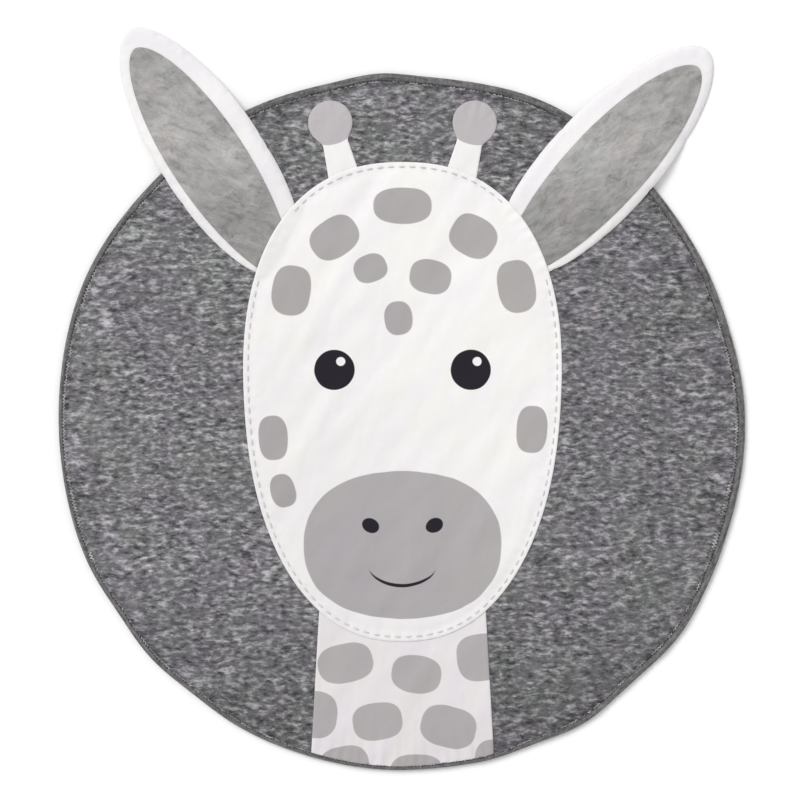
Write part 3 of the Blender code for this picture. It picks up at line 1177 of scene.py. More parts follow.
@dataclass(frozen=True)
class HeatherKnit:
    """Brushed knit of dark and light yarns that run across the mat."""

    dark: Colour = (0.050, 0.0495, 0.0535)
    mid: Colour = (0.182, 0.181, 0.186)
    light: Colour = (0.508, 0.508, 0.514)
    to_mid: Ramp = Ramp(0.37, 0.51)
    to_light: Ramp = Ramp(0.51, 0.66)
    plum: Colour = (1.03, 0.96, 1.05)
    moss: Colour = (0.98, 1.01, 0.97)
    tint_scale: float = 16.0
    sway: Drift = Drift(30.0, 2.0, (0.0, 0.009, 0.0))
    flecks: tuple[Grain, ...] = (
        Grain((74.0, 158.0, 50.0), 3.0, 0.60),
        Grain((160.0, 360.0, 90.0), 2.0, 0.55),
        Grain((20.0, 40.0, 30.0), 2.0, 0.60),
    )
    fleck_shares: tuple[float, ...] = (0.66, 0.22, 0.12)
    contrast: Ramp = Ramp(0.0, 1.0, 0.62, 1.25)
    contrast_scale: float = 38.0
    hair: Grain = Grain((520.0, 1500.0, 400.0), 2.0, 0.60)
    hair_range: Ramp = Ramp(0.35, 0.65)
    hair_light: Colour = (1.22, 1.22, 1.22)
    hair_dark: Colour = (0.78, 0.78, 0.78)
    # painted shade: the knit is painted darker towards +X
    darker_towards: Colour = (1.0, 0.15, 0.0)
    side_shade: Ramp = Ramp(-0.35, 0.35, 1.0, 0.90)
    # painted shade: the knit is painted darker towards the bottom of the mat
    low_shade: Ramp = Ramp(-0.42, -0.22, 0.79, 1.0)
    # painted shade: the knit is painted darker in the groove just inside the seam, its edge wavering a little
    groove_shade: Ramp = Ramp(0.0, 0.012, 0.62, 1.0)
    groove_scale: float = 55.0
    groove_waver: float = 0.006
    hair_height: float = 0.25
    depth: float = 0.0016

    def material(self, effects: Effects) -> bpy.types.Material:
        """Makes the finish.

        Args:
            effects: the shared node groups.

        Returns:
            The material.
        """
        cloth = Surface.start(effects, "heather_knit", roughness=0.95)
        bench = cloth.bench
        place = self.sway.on(bench, cloth.place)
        shade = bench.weighted([fleck.on(bench, place) for fleck in self.flecks], self.fleck_shares)
        contrast = self.contrast.on(bench, cloth.patches(self.contrast_scale))
        shade = bench.math("MULTIPLY_ADD", bench.math("SUBTRACT", shade, 0.5), contrast, 0.5)
        yarn = bench.blend(self.to_mid.on(bench, shade), self.dark, self.mid)
        yarn = bench.blend(self.to_light.on(bench, shade), yarn, self.light)
        tint = bench.blend(cloth.patches(self.tint_scale), self.plum, self.moss)
        hair = self.hair.on(bench, place)
        hairs = bench.blend(self.hair_range.on(bench, hair), self.hair_dark, self.hair_light)
        # painted shade in the groove along the seam with the binding
        from_seam = bench.node("ShaderNodeAttribute", attribute_name="from_seam").outputs["Fac"]
        uneven = bench.math("MULTIPLY_ADD", cloth.patches(self.groove_scale), self.groove_waver, from_seam)
        painted_groove_shade = self.groove_shade.on(bench, uneven)
        # painted shade, darker towards +X
        side = self.side_shade.on(bench, bench.along(cloth.place, self.darker_towards))
        # painted shade, darker towards the bottom
        low = self.low_shade.on(bench, bench.along(cloth.place, ALONG_Y))
        # the yarn colour is tinted and darkened by the painted shade
        cloth.colour(bench.tinted(yarn, tint, hairs, bench.grey(bench.product(painted_groove_shade, side, low))))
        cloth.relief(bench.math("MULTIPLY_ADD", hair, self.hair_height, shade), self.depth)
        return cloth.material


@dataclass(frozen=True)
class Spot:
    """One printed spot: place, half sizes, turn, and 2 for an ellipse or more for a rounder box."""

    x: float
    y: float
    half_x: float
    half_y: float
    angle_deg: float = 0.0
    power: float = 2.0

    def mask(self, cloth: Surface, place: bpy.types.NodeSocket, edge: float) -> bpy.types.NodeSocket:
        """Mask of the spot.

        Args:
            cloth: the surface that is printed.
            place: coordinates in metres.
            edge: half width of the soft edge.

        Returns:
            A socket that is 1 inside the spot.
        """
        values = {"Centre": (self.x, self.y, 0.0), "Turn": (0.0, 0.0, math.radians(self.angle_deg)),
                  "Half_Size": (self.half_x, self.half_y, 1.0), "Power": self.power,
                  "Softness": self.power * edge / min(self.half_x, self.half_y)}
        return cloth.bench.group(cloth.effects.spot, Vector=place, **values)


@dataclass(frozen=True)
class Ink:
    """One printed colour with its spots, and the spots that it spares."""

    colour: Colour
    spots: tuple[Spot, ...]
    spared: tuple[Spot, ...] = ()

    def mask(self, cloth: Surface, place: bpy.types.NodeSocket, edge: float) -> bpy.types.NodeSocket:
        """Mask of all the spots together, less those that are spared.

        Args:
            cloth: the surface that is printed.
            place: coordinates in metres.
            edge: half width of the soft edge.

        Returns:
            A socket that is 1 where the ink is.
        """
        bench = cloth.bench
        total, *masks = [spot.mask(cloth, place, edge) for spot in self.spots]
        for mask in masks:
            total = bench.math("MAXIMUM", total, mask)
        for spot in self.spared:
            total = bench.product(total, bench.math("SUBTRACT", 1.0, spot.mask(cloth, place, edge)))
        return total


PATCH_GREY: Colour = (0.436, 0.414, 0.412)
MUZZLE_GREY: Colour = (0.464, 0.443, 0.444)
NECK_GREY: Colour = (0.490, 0.466, 0.462)
EYE_DARK: Colour = (0.016, 0.013, 0.021)
HORN_GREY: Colour = (0.519, 0.493, 0.502)
COTTON_WHITE: Colour = (0.938, 0.921, 0.906)
HORN_WHITE: Colour = (0.928, 0.912, 0.882)
NECK_WHITE: Colour = (0.876, 0.845, 0.840)
EAR_WHITE: Colour = (0.902, 0.886, 0.888)

HEAD_INKS = (
    Ink(PATCH_GREY, (
        Spot(0.000, 0.312, 0.042, 0.026, 0, 2.5),
        Spot(-0.098, 0.266, 0.036, 0.028, 34, 2.6),
        Spot(0.102, 0.268, 0.034, 0.029, -30, 2.6),
        Spot(-0.160, 0.190, 0.028, 0.036, -8, 2.6),
        Spot(0.164, 0.196, 0.027, 0.038, 10, 2.6),
        Spot(-0.046, 0.222, 0.024, 0.020, 20, 2.5),
        Spot(0.040, 0.210, 0.030, 0.024, -12, 2.5),
        Spot(-0.006, 0.150, 0.020, 0.024, 6, 2.5),
        Spot(0.186, -0.010, 0.022, 0.034, -4, 2.6),
        Spot(-0.186, -0.022, 0.021, 0.032, 5, 2.6),
        Spot(-0.172, -0.098, 0.018, 0.024, 14, 2.5),
    )),
    Ink(MUZZLE_GREY, (Spot(0.0, -0.176, 0.142, 0.106, 0, 2.3),)),
    Ink(EYE_DARK, (
        Spot(-0.098, 0.076, 0.029, 0.029),
        Spot(0.098, 0.076, 0.029, 0.029),
        Spot(-0.046, -0.148, 0.013, 0.010, -24),
        Spot(0.046, -0.148, 0.013, 0.010, 24),
    )),
    Ink(EYE_DARK, (Spot(0.0, -0.207, 0.048, 0.030),), (Spot(0.0, -0.2025, 0.050, 0.0295),)),
    Ink(COTTON_WHITE, (Spot(-0.089, 0.088, 0.0065, 0.0065), Spot(0.107, 0.088, 0.0065, 0.0065))),
)

NECK_INKS = (
    Ink(NECK_GREY, (
        Spot(-0.082, -0.346, 0.040, 0.028, 12, 2.6),
        Spot(0.020, -0.362, 0.036, 0.027, -10, 2.6),
        Spot(0.112, -0.338, 0.034, 0.034, 8, 2.6),
        Spot(-0.128, -0.420, 0.034, 0.034, -6, 2.6),
        Spot(-0.036, -0.430, 0.036, 0.027, 8, 2.6),
        Spot(0.066, -0.438, 0.040, 0.030, -14, 2.6),
        Spot(-0.084, -0.494, 0.036, 0.028, 10, 2.6),
        Spot(0.020, -0.504, 0.038, 0.026, 0, 2.6),
        Spot(0.134, -0.486, 0.030, 0.030, 0, 2.6),
    )),
)

HORN_INKS = (
    Ink(HORN_GREY, (
        Spot(-0.1045, 0.434, 0.038, 0.034, 14, 2.2),
        Spot(0.1045, 0.434, 0.038, 0.034, -14, 2.2),
    )),
)


@dataclass(frozen=True)
class PrintedCotton:
    """White cotton with a plain print, painted greyer towards the lower left and with warm and cool painted
    light in diagonal bands.
    """

    name: str
    inks: tuple[Ink, ...] = ()
    white: Colour = COTTON_WHITE
    shade: Colour = (0.972, 0.970, 0.974)
    shade_scale: float = 14.0
    # painted shade: the cloth is painted greyer towards the lower left and lighter towards the upper right
    painted_shade_grey: Colour = (0.898, 0.894, 0.908)
    lit_towards: Colour = (0.6, 0.8, 0.0)
    lit_share: Ramp = Ramp(-0.30, 0.20)
    # painted light and shade: warm painted highlight and cool painted shade in soft diagonal bands
    warm: Colour = (1.0, 0.998, 0.982)
    cool: Colour = (0.982, 0.978, 1.0)
    band: Grain = Grain((7.0, 26.0, 10.0))
    band_range: Ramp = Ramp(0.38, 0.62)
    band_turn_deg: float = -54.0
    soft_edge: float = 0.0005
    waver: Drift = Drift(26.0, 1.5, (0.0028, 0.0028, 0.0028))
    threads: float = 1500.0
    crease: Grain = Grain((60.0, 60.0, 60.0), 3.0)
    crease_height: float = 3.0
    depth: float = 0.00032

    def material(self, effects: Effects) -> bpy.types.Material:
        """Makes the finish.

        Args:
            effects: the shared node groups.

        Returns:
            The material.
        """
        cloth = Surface.start(effects, self.name, roughness=0.90)
        bench = cloth.bench
        base = self.white
        place = self.waver.on(bench, cloth.place) if self.inks else cloth.place
        for ink in self.inks:
            base = bench.blend(ink.mask(cloth, place, self.soft_edge), base, ink.colour)
        soft = bench.blend(cloth.patches(self.shade_scale), self.shade, PLAIN)
        # painted shade, greyer towards the lower left
        lit_share = self.lit_share.on(bench, bench.along(cloth.place, self.lit_towards))
        side = bench.blend(lit_share, self.painted_shade_grey, PLAIN)
        # warm painted highlight and cool painted shade in diagonal bands
        band = self.band.on(bench, bench.turned(cloth.place, self.band_turn_deg))
        cast = bench.blend(self.band_range.on(bench, band), self.cool, self.warm)
        cloth.colour(bench.tinted(base, bench.tinted(soft, side, cast)))
        crease, weave = self.crease.on(bench, cloth.place), cloth.weave(self.threads)
        cloth.relief(bench.math("MULTIPLY_ADD", crease, self.crease_height, weave), self.depth)
        return cloth.material


@dataclass(frozen=True)
class LiningCloth:
    """Soft grey cloth on the front of the ears, a little mottled, with painted shade in its crumples and
    creases and towards its root and tip.
    """

    name: str
    streak_turn_deg: float
    light: Colour = (0.575, 0.562, 0.558)
    dark: Colour = (0.290, 0.287, 0.285)
    moss: Colour = (0.975, 1.005, 0.985)
    rose: Colour = (1.030, 0.994, 0.984)
    cast_scale: float = 17.0
    wander: Drift = Drift(17.0, 1.0, (0.026, 0.026, 0.0))
    streak: Grain = Grain((44.0, 100.0, 50.0), 3.0, 0.58)
    streak_range: Ramp = Ramp(0.34, 0.66)
    patch_scale: float = 30.0
    fibre_scale: float = 380.0
    shares: tuple[float, ...] = (0.40, 0.35, 0.25)
    # painted shade: soft dark blotches where the cloth crumples
    crumple_grain: Grain = Grain((42.0, 84.0, 60.0), 4.0, 0.62)
    mark_shade: Ramp = Ramp(0.54, 0.72, 1.0, 0.72)
    # painted shade: thin dark lines along diagonal creases, shown in some patches only
    line: Grain = Grain((44.0, 78.0, 50.0), 2.5, 0.55)
    line_range: Ramp = Ramp(0.0, 0.030, 1.0, 0.0)
    line_patch: Colour = (1.0, 1.4, 1.0)
    line_scale: float = 52.0
    line_depth: Ramp = Ramp(0.35, 0.85, 0.0, 0.30)
    # painted shade: darker towards the ear's root and towards its tip
    root_shade: Ramp = Ramp(0.300, 0.385, 0.76, 1.0)
    tip_shade: Ramp = Ramp(0.400, 0.445, 1.0, 0.885)
    threads: float = 1800.0
    streak_height: float = 4.0
    depth: float = 0.0003

    def material(self, effects: Effects) -> bpy.types.Material:
        """Makes the finish.

        Args:
            effects: the shared node groups.

        Returns:
            The material.
        """
        cloth = Surface.start(effects, self.name, roughness=0.92)
        bench = cloth.bench
        place = self.wander.on(bench, cloth.place)
        turned = bench.turned(place, self.streak_turn_deg)
        streaks = self.streak_range.on(bench, self.streak.on(bench, turned))
        parts = (streaks, cloth.patches(self.patch_scale), cloth.patches(self.fibre_scale))
        base = bench.blend(bench.weighted(parts, self.shares), self.dark, self.light)
        # painted shade of the crumples
        crumple_shade = self.mark_shade.on(bench, self.crumple_grain.on(bench, turned))
        # painted shade along the creases
        from_line = bench.math("ABSOLUTE", bench.math("SUBTRACT", self.line.on(bench, turned), 0.5))
        here_and_there = cloth.patches(self.line_scale, bench.scaled(place, self.line_patch))
        shown = self.line_depth.on(bench, here_and_there)
        lines = bench.math("SUBTRACT", 1.0, bench.product(self.line_range.on(bench, from_line), shown))
        # painted shade towards the ear's root and tip
        upward = bench.along(cloth.place, ALONG_Y)
        ends = (self.root_shade.on(bench, upward), self.tip_shade.on(bench, upward))
        cast = bench.blend(cloth.patches(self.cast_scale), self.moss, self.rose)
        cloth.colour(bench.tinted(base, bench.grey(bench.product(crumple_shade, lines, *ends)), cast))
        weave = cloth.weave(self.threads)
        cloth.relief(bench.math("MULTIPLY_ADD", streaks, self.streak_height, weave), self.depth)
        return cloth.material


@dataclass(frozen=True)
class BindingCloth:
    """Dark grey woven tape."""

    light: Colour = (0.225, 0.222, 0.226)
    dark: Colour = (0.058, 0.057, 0.060)
    spread: Ramp = Ramp(0.24, 0.78)
    warm: Colour = (1.03, 0.985, 0.965)
    cast_scale: float = 22.0
    patch_scale: float = 150.0
    streak: Grain = Grain((34.0, 260.0, 1.0), 3.0, 0.6)
    streak_range: Ramp = Ramp(0.34, 0.66)
    fibre_stretch: Colour = (2.2, 1.0, 1.0)
    fibre_scale: float = 330.0
    shares: tuple[float, ...] = (0.36, 0.34, 0.30)
    # painted shade along the tape's edge at the seam
    seam_shade: Ramp = Ramp(0.0005, 0.0040, 0.55, 1.0)
    threads: float = 1600.0
    depth: float = 0.00025

    def material(self, effects: Effects) -> bpy.types.Material:
        """Makes the finish.

        Args:
            effects: the shared node groups.

        Returns:
            The material.
        """
        cloth = Surface.start(effects, "binding_cloth", roughness=0.80, specular=0.25, follows_cloth=True)
        bench = cloth.bench
        streaks = self.streak_range.on(bench, self.streak.on(bench, cloth.place))
        fibre = cloth.patches(self.fibre_scale, bench.scaled(cloth.place, self.fibre_stretch))
        share = bench.weighted((cloth.patches(self.patch_scale), streaks, fibre), self.shares)
        base = bench.blend(self.spread.on(bench, share), self.dark, self.light)
        cast = bench.blend(cloth.patches(self.cast_scale), self.warm, PLAIN)
        # painted shade at the seam edge of the tape
        seam = self.seam_shade.on(bench, bench.along(cloth.place, ALONG_Y))
        cloth.colour(bench.tinted(base, cast, bench.grey(seam)))
        cloth.relief(cloth.weave(self.threads), self.depth)
        return cloth.material


@dataclass(frozen=True)
class BackingCotton:
    """Plain grey cotton of the underside."""

    light: Colour = (0.230, 0.228, 0.234)
    dark: Colour = (0.180, 0.178, 0.184)
    patch_scale: float = 30.0
    threads: float = 1400.0
    depth: float = 0.0003

    def material(self, effects: Effects) -> bpy.types.Material:
        """Makes the finish.

        Args:
            effects: the shared node groups.

        Returns:
            The material.
        """
        cloth = Surface.start(effects, "backing_cotton", roughness=0.92)
        cloth.colour(cloth.bench.blend(cloth.patches(self.patch_scale), self.dark, self.light))
        cloth.relief(cloth.weave(self.threads), self.depth)
        return cloth.material


@dataclass(frozen=True)
class Thread:
    """Sewing thread with a fine twist."""

    name: str
    colour: Colour
    low_share: float = 0.82
    twist: float = 900.0
    depth: float = 0.0002

    def material(self, effects: Effects) -> bpy.types.Material:
        """Makes the finish.

        Args:
            effects: the shared node groups.

        Returns:
            The material.
        """
        yarn = Surface.start(effects, self.name, roughness=0.65, specular=0.30)
        twists = yarn.patches(self.twist)
        low = tuple(self.low_share * part for part in self.colour)
        yarn.colour(yarn.bench.blend(twists, low, self.colour))
        yarn.relief(twists, self.depth)
        return yarn.material


# Sub-assemblies


HEAD = Egg()
RIM = Rim()
HEAD_CREASES = (
    Fold(-0.150, 0.105, 52, 0.048, 0.0080, 0.0011),
    Fold(-0.118, 0.160, 58, 0.036, 0.0065, 0.0008),
    Fold(-0.052, 0.035, 50, 0.060, 0.0090, 0.0010),
    Fold(-0.020, 0.070, 47, 0.034, 0.0060, 0.0007),
    Fold(0.036, 0.060, 55, 0.052, 0.0085, 0.0010),
    Fold(0.070, 0.150, 60, 0.044, 0.0080, 0.0009),
    Fold(0.140, 0.050, 56, 0.040, 0.0075, 0.0010),
    Fold(0.158, -0.045, 62, 0.045, 0.0080, 0.0011),
    Fold(-0.165, -0.060, 48, 0.036, 0.0070, 0.0009),
    Fold(0.020, 0.255, 62, 0.040, 0.0080, 0.0008),
    Fold(-0.060, 0.290, 56, 0.030, 0.0070, 0.0007),
    Fold(0.034, -0.135, 78, 0.034, 0.0070, 0.0008),
    Fold(0.012, -0.180, 88, 0.046, 0.0060, 0.0007),
    Fold(-0.070, -0.200, 66, 0.040, 0.0080, 0.0008),
    Fold(0.098, -0.190, 70, 0.036, 0.0070, 0.0008),
)
LEFT_LINING_CREASES = (
    Fold(-0.372, 0.470, -28, 0.014, 0.0040, 0.0013),
    Fold(-0.350, 0.411, -6, 0.018, 0.0038, 0.0014),
    Fold(-0.330, 0.436, 30, 0.012, 0.0040, 0.0010),
    Fold(-0.313, 0.376, -26, 0.020, 0.0040, 0.0015),
    Fold(-0.336, 0.350, -12, 0.014, 0.0038, 0.0012),
    Fold(-0.286, 0.352, -34, 0.014, 0.0042, 0.0012),
    Fold(-0.302, 0.316, -18, 0.018, 0.0040, 0.0014),
    Fold(-0.262, 0.312, -40, 0.014, 0.0042, 0.0012),
    Fold(-0.254, 0.282, -20, 0.012, 0.0040, 0.0012),
)
RIGHT_LINING_CREASES = (
    Fold(0.412, 0.492, -38, 0.014, 0.0038, 0.0017),
    Fold(0.388, 0.478, 40, 0.015, 0.0040, 0.0018),
    Fold(0.366, 0.452, 12, 0.020, 0.0042, 0.0021),
    Fold(0.386, 0.428, -30, 0.014, 0.0038, 0.0017),
    Fold(0.362, 0.402, 46, 0.017, 0.0042, 0.0018),
    Fold(0.330, 0.424, -8, 0.019, 0.0040, 0.0020),
    Fold(0.322, 0.382, 34, 0.020, 0.0042, 0.0020),
    Fold(0.290, 0.396, 52, 0.014, 0.0040, 0.0016),
    Fold(0.288, 0.352, 10, 0.020, 0.0040, 0.0020),
    Fold(0.244, 0.330, 30, 0.016, 0.0040, 0.0017),
    Fold(0.262, 0.304, 44, 0.014, 0.0042, 0.0017),
)
STITCH_INSET = 0.009        # pieces under the head end here, just inside its running stitch
STITCH_LINE = HEAD.outline(STITCH_INSET)


def outside_stitch(covers: Cover) -> Cover:
    """The part of a piece that lies outside the head's running stitch."""
    return lambda points: covers(points) & ~HEAD.covers(points, STITCH_INSET)


@dataclass
class MatBody:
    """The padded round body under everything."""

    effects: Effects
    step: float = 0.0040
    floor_step: float = 0.020
    seam_height: float = 0.0090
    middle_height: float = 0.0175
    shoulder: float = 0.080
    stitch_depth: float = 0.0012
    stitch_reach: float = 0.014
    stitch_step: float = 0.006
    sharp_deg: float = 60.0
    fill: float = 0.35
    pucker: Crumple = Crumple(0.0012, 0.010, 0.026, 90.0, 4.0, 11)
    softness: Crumple = Crumple(0.00045, 0.050, 0.140, 50.0, 60.0, 5)
    pucker_reach: float = 0.018
    pucker_start: float = 0.004
    folds: tuple[Fold, ...] = (
        Fold(-0.090, 0.215, 52, 0.110, 0.022, 0.0018),
        Fold(-0.020, 0.120, 48, 0.120, 0.024, -0.0014),
        Fold(0.105, 0.165, 58, 0.100, 0.020, 0.0016),
        Fold(0.150, 0.020, 64, 0.090, 0.024, -0.0014),
        Fold(-0.135, -0.030, 50, 0.100, 0.026, 0.0015),
        Fold(0.020, -0.190, 88, 0.090, 0.020, 0.0014),
        Fold(0.070, -0.235, 75, 0.070, 0.018, -0.0012),
        Fold(-0.330, 0.060, 78, 0.120, 0.035, 0.0016),
        Fold(-0.300, -0.210, 35, 0.110, 0.034, -0.0016),
        Fold(0.330, 0.090, 100, 0.120, 0.034, 0.0015),
        Fold(0.300, -0.240, 140, 0.110, 0.036, -0.0016),
        Fold(0.000, -0.400, 84, 0.070, 0.022, 0.0015),
    )

    def top(self, points: np.ndarray) -> np.ndarray:
        """Height of the padding: low at the seam, fuller inside, with soft folds.

        Args:
            points: one row for each point.

        Returns:
            One height for each point.
        """
        from_seam = RIM.inside_seam(points)
        height = self.seam_height + (self.middle_height - self.seam_height) * dome(from_seam / self.shoulder)
        height += (folded(points, self.folds) + self.softness.at(points)) * ease(from_seam / self.shoulder)
        stitches = resampled(STITCH_LINE, self.stitch_step)
        height -= self.stitch_depth * (1.0 - ease(outline_distance(points, stitches) / self.stitch_reach))
        angles = np.arctan2(points[:, 1], points[:, 0])
        around = np.column_stack([RIM.radius * angles, np.zeros(len(points))])
        gathered = np.exp(-from_seam / self.pucker_reach) * ease(from_seam / self.pucker_start)
        return height + self.pucker.at(around) * gathered

    def build(self, terrain: Terrain) -> None:
        """Makes the body and lays it on the floor.

        Args:
            terrain: heights of what is laid, raised by the body.
        """
        pattern = cut([RIM.seam()], lambda points: RIM.inside_seam(points) > 0.0, self.step)
        count = len(pattern.points)
        high = np.column_stack([pattern.points, self.top(pattern.points)])
        border = np.unique(pattern.border)
        rim_low = np.column_stack([pattern.points[border], np.zeros(len(border))])
        lower = {int(corner): count + number for number, corner in enumerate(border)}
        faces = pattern.triangles.tolist()
        faces += [(lower[a], lower[b], b, a) for a, b in pattern.border.tolist()]
        inner, floor_faces = self.underside(pattern, lower, count + len(border))
        vertices = np.vstack([high, rim_low, inner])
        finish = HeatherKnit().material(self.effects)
        piece = new_piece("mat_body_padded", vertices, faces + floor_faces, finish)
        layer = piece.data.attributes.new("from_seam", "FLOAT", "POINT")
        layer.data.foreach_set("value", np.maximum(RIM.inside_seam(vertices[:, :2]), 0.0))
        piece.data.materials.append(BackingCotton().material(self.effects))
        for face in list(piece.data.polygons)[len(faces):]:
            face.material_index = 1
        piece.data.set_sharp_from_angle(angle=math.radians(self.sharp_deg))
        seat(piece, Slot.HEATHER, "mat_body")
        terrain.raise_by(piece)

    def underside(self, pattern: Pattern, lower: dict[int, int],
                  first: int) -> tuple[np.ndarray, list[list[int]]]:
        """Flat underside inside the rim's lower ring.

        Args:
            pattern: the flat cut of the top.
            lower: number of the floor vertex under each border point.
            first: number that the first new vertex gets.

        Returns:
            The new vertices and the faces, which look down.
        """
        follow = dict(pattern.border.tolist())
        loop = [int(pattern.border[0, 0])]
        while follow[loop[-1]] != loop[0]:
            loop.append(follow[loop[-1]])
        grid = hex_grid(self.floor_step, pattern.points.min(axis=0), pattern.points.max(axis=0))
        grid = grid[RIM.inside_seam(grid) > GRID_ROOM * self.floor_step]
        corners = [Vector(pattern.points[i]) for i in loop] + [Vector(p) for p in grid]
        ring = [(i, (i + 1) % len(loop)) for i in range(len(loop))]
        _, _, made, origins, *_ = delaunay_2d_cdt(corners, ring, [], 1, SAMENESS)
        numbers = [lower[i] for i in loop] + [first + i for i in range(len(grid))]
        faces = [[numbers[origins[i][0]] for i in reversed(face)] for face in made]
        return np.column_stack([grid, np.zeros(len(grid))]), faces


@dataclass
class EdgeBinding:
    """Woven tape folded round the rim, with the fine stitches that hold it."""

    effects: Effects
    steps: int = 1600
    sides: int = 16
    height: float = 0.0105
    foot: float = 0.0003
    thickness: float = 0.0009
    tuck_deg: float = 158.0
    foot_share: float = 0.90
    sharp_deg: float = 70.0
    gather: Crumple = Crumple(0.00042, 0.0055, 0.015, 90.0, 3.0, 21)
    roll: Crumple = Crumple(0.0004, 0.030, 0.090, 90.0, 3.0, 23)
    most_swell: float = 0.0006
    stitch_pitch: float = 0.0050
    stitch_radius: float = 0.00068
    stitch_from: float = -0.0042
    stitch_to: float = 0.0012
    stitch_turns: tuple[float, ...] = (0.0, 0.15, 0.30, 0.45)
    stitch_heights: tuple[float, ...] = (-0.0004, 0.0005, 0.0005, -0.0004)
    narrow_share: float = 0.22
    # angle and spread in degrees, and what is added to the zigzag's share of its full reach
    wide_places: tuple[tuple[float, float, float], ...] = (
        (344.0, 7.0, 1.45),
        (2.0, 4.5, 0.80),
        (14.0, 4.0, 0.60),
        (163.0, 7.0, 1.00),
        (186.0, 5.0, 0.70),
        (199.0, 5.0, 1.00),
    )

    def section(self, width: np.ndarray, inward: float) -> np.ndarray:
        """The folded tape's section at each place along the rim.

        Args:
            width: width of the binding at each place.
            inward: distance in from the outer face.

        Returns:
            Distance out from the seam and height, by place and by point of the section.
        """
        turns = np.radians(np.linspace(self.tuck_deg, -90.0, self.sides))
        half_width = 0.5 * width[:, None]
        half_height = 0.5 * (self.height - self.foot)
        out = half_width + (half_width - inward) * np.cos(turns)
        up = self.foot + half_height + (half_height - inward) * np.sin(turns)
        tail = half_width * (1.0 - self.foot_share)
        heights = np.broadcast_to(np.append(up, up[-1]), (len(width), self.sides + 1))
        return np.stack([np.hstack([out, tail]), heights], axis=2)

    def build(self, terrain: Terrain) -> None:
        """Makes the binding.

        Args:
            terrain: heights of what is laid, raised by the binding.
        """
        angles = np.linspace(0.0, 2.0 * math.pi, self.steps, endpoint=False)
        width = RIM.width(angles)
        seam = RIM.outer(angles) - width
        along = np.column_stack([RIM.radius * angles, np.zeros(self.steps)])
        swell = np.minimum(self.gather.at(along) + self.roll.at(along), self.most_swell)
        outer, inner = self.section(width, 0.0), self.section(width, self.thickness)
        loop = np.concatenate([outer, inner[:, ::-1]], axis=1)
        lift = ease((loop[:, :, 1] - self.foot) / (0.5 * self.height))
        radius = seam[:, None] + loop[:, :, 0]
        vertices = np.stack([radius * np.cos(angles)[:, None], radius * np.sin(angles)[:, None],
                             loop[:, :, 1] + swell[:, None] * lift], axis=2)
        around = loop.shape[1]
        faces = []
        for place in range(self.steps):
            here, there = place * around, (place + 1) % self.steps * around
            for corner in range(around):
                after = (corner + 1) % around
                faces.append((here + corner, here + after, there + after, there + corner))
        finish = BindingCloth().material(self.effects)
        piece = new_piece("edge_binding_tape", vertices.reshape(-1, 3), faces, finish)
        self.lay_out(piece, loop)
        piece.data.set_sharp_from_angle(angle=math.radians(self.sharp_deg))
        seat(piece, Slot.BINDING, "edge_binding")
        tape = float(np.hypot(*np.diff(outer, axis=1).transpose(2, 0, 1)).sum(axis=1).mean())
        terrain.raise_by(piece)

    def lay_out(self, piece: bpy.types.Object, loop: np.ndarray) -> None:
        """Gives the tape a UV map in metres, along it and across it.

        Args:
            piece: the tape.
            loop: its sections, by place and by point.
        """
        around = loop.shape[1]
        across = np.concatenate([[0.0], np.cumsum(np.hypot(*np.diff(loop[0], axis=0).T))])
        pitch = 2.0 * math.pi * RIM.radius / self.steps
        layer = piece.data.uv_layers.new(name="tape")
        values = []
        for place in range(self.steps):
            for corner in range(around):
                after = corner + 1
                end = across[after] if after < around else across[-1] + self.thickness
                values += [(place * pitch, across[corner]), (place * pitch, end),
                           ((place + 1) * pitch, end), ((place + 1) * pitch, across[corner])]
        layer.data.foreach_set("uv", np.array(values).ravel())

    def reach_share(self, turns: np.ndarray) -> np.ndarray:
        """How far the zigzag reaches onto the body: a little, and more where it was sewn wide.

        Args:
            turns: angles round the rim in radians.

        Returns:
            One share for each angle.
        """
        share = np.full(len(turns), self.narrow_share)
        for centre_deg, spread_deg, extra in self.wide_places:
            share += extra * rim_bell(turns, centre_deg, spread_deg)
        return share

    def stitches(self, terrain: Terrain) -> None:
        """Adds the zigzag that holds the tape to the body and to the neck panel's end.

        Args:
            terrain: heights of what the zigzag is sewn through.
        """
        count = round(2.0 * math.pi * RIM.radius / self.stitch_pitch)
        outward = np.linspace(self.stitch_from, self.stitch_to, len(self.stitch_turns))
        inward = np.linspace(self.stitch_to, self.stitch_from, len(self.stitch_turns))
        runs = []
        for number in range(count):
            for turn, from_seam in ((0.0, outward), (0.5, inward)):
                turns = (number + turn + np.array(self.stitch_turns)) * 2.0 * math.pi / count
                from_seam = np.where(from_seam < 0.0, from_seam * self.reach_share(turns), from_seam)
                run = from_polar(RIM.outer(turns) - RIM.width(turns) + from_seam, turns)
                runs.append(np.column_stack([run, terrain.read(run) + np.array(self.stitch_heights)]))
        thread = Thread("binding_thread", (0.660, 0.648, 0.655), low_share=0.06, twist=75.0)
        piece = stitch_row("binding_stitches", runs, self.stitch_radius, thread.material(self.effects))
        seat(piece, Slot.BINDING)


THREAD_END = 0.55           # share of a thread's radius where it dips into the cloth


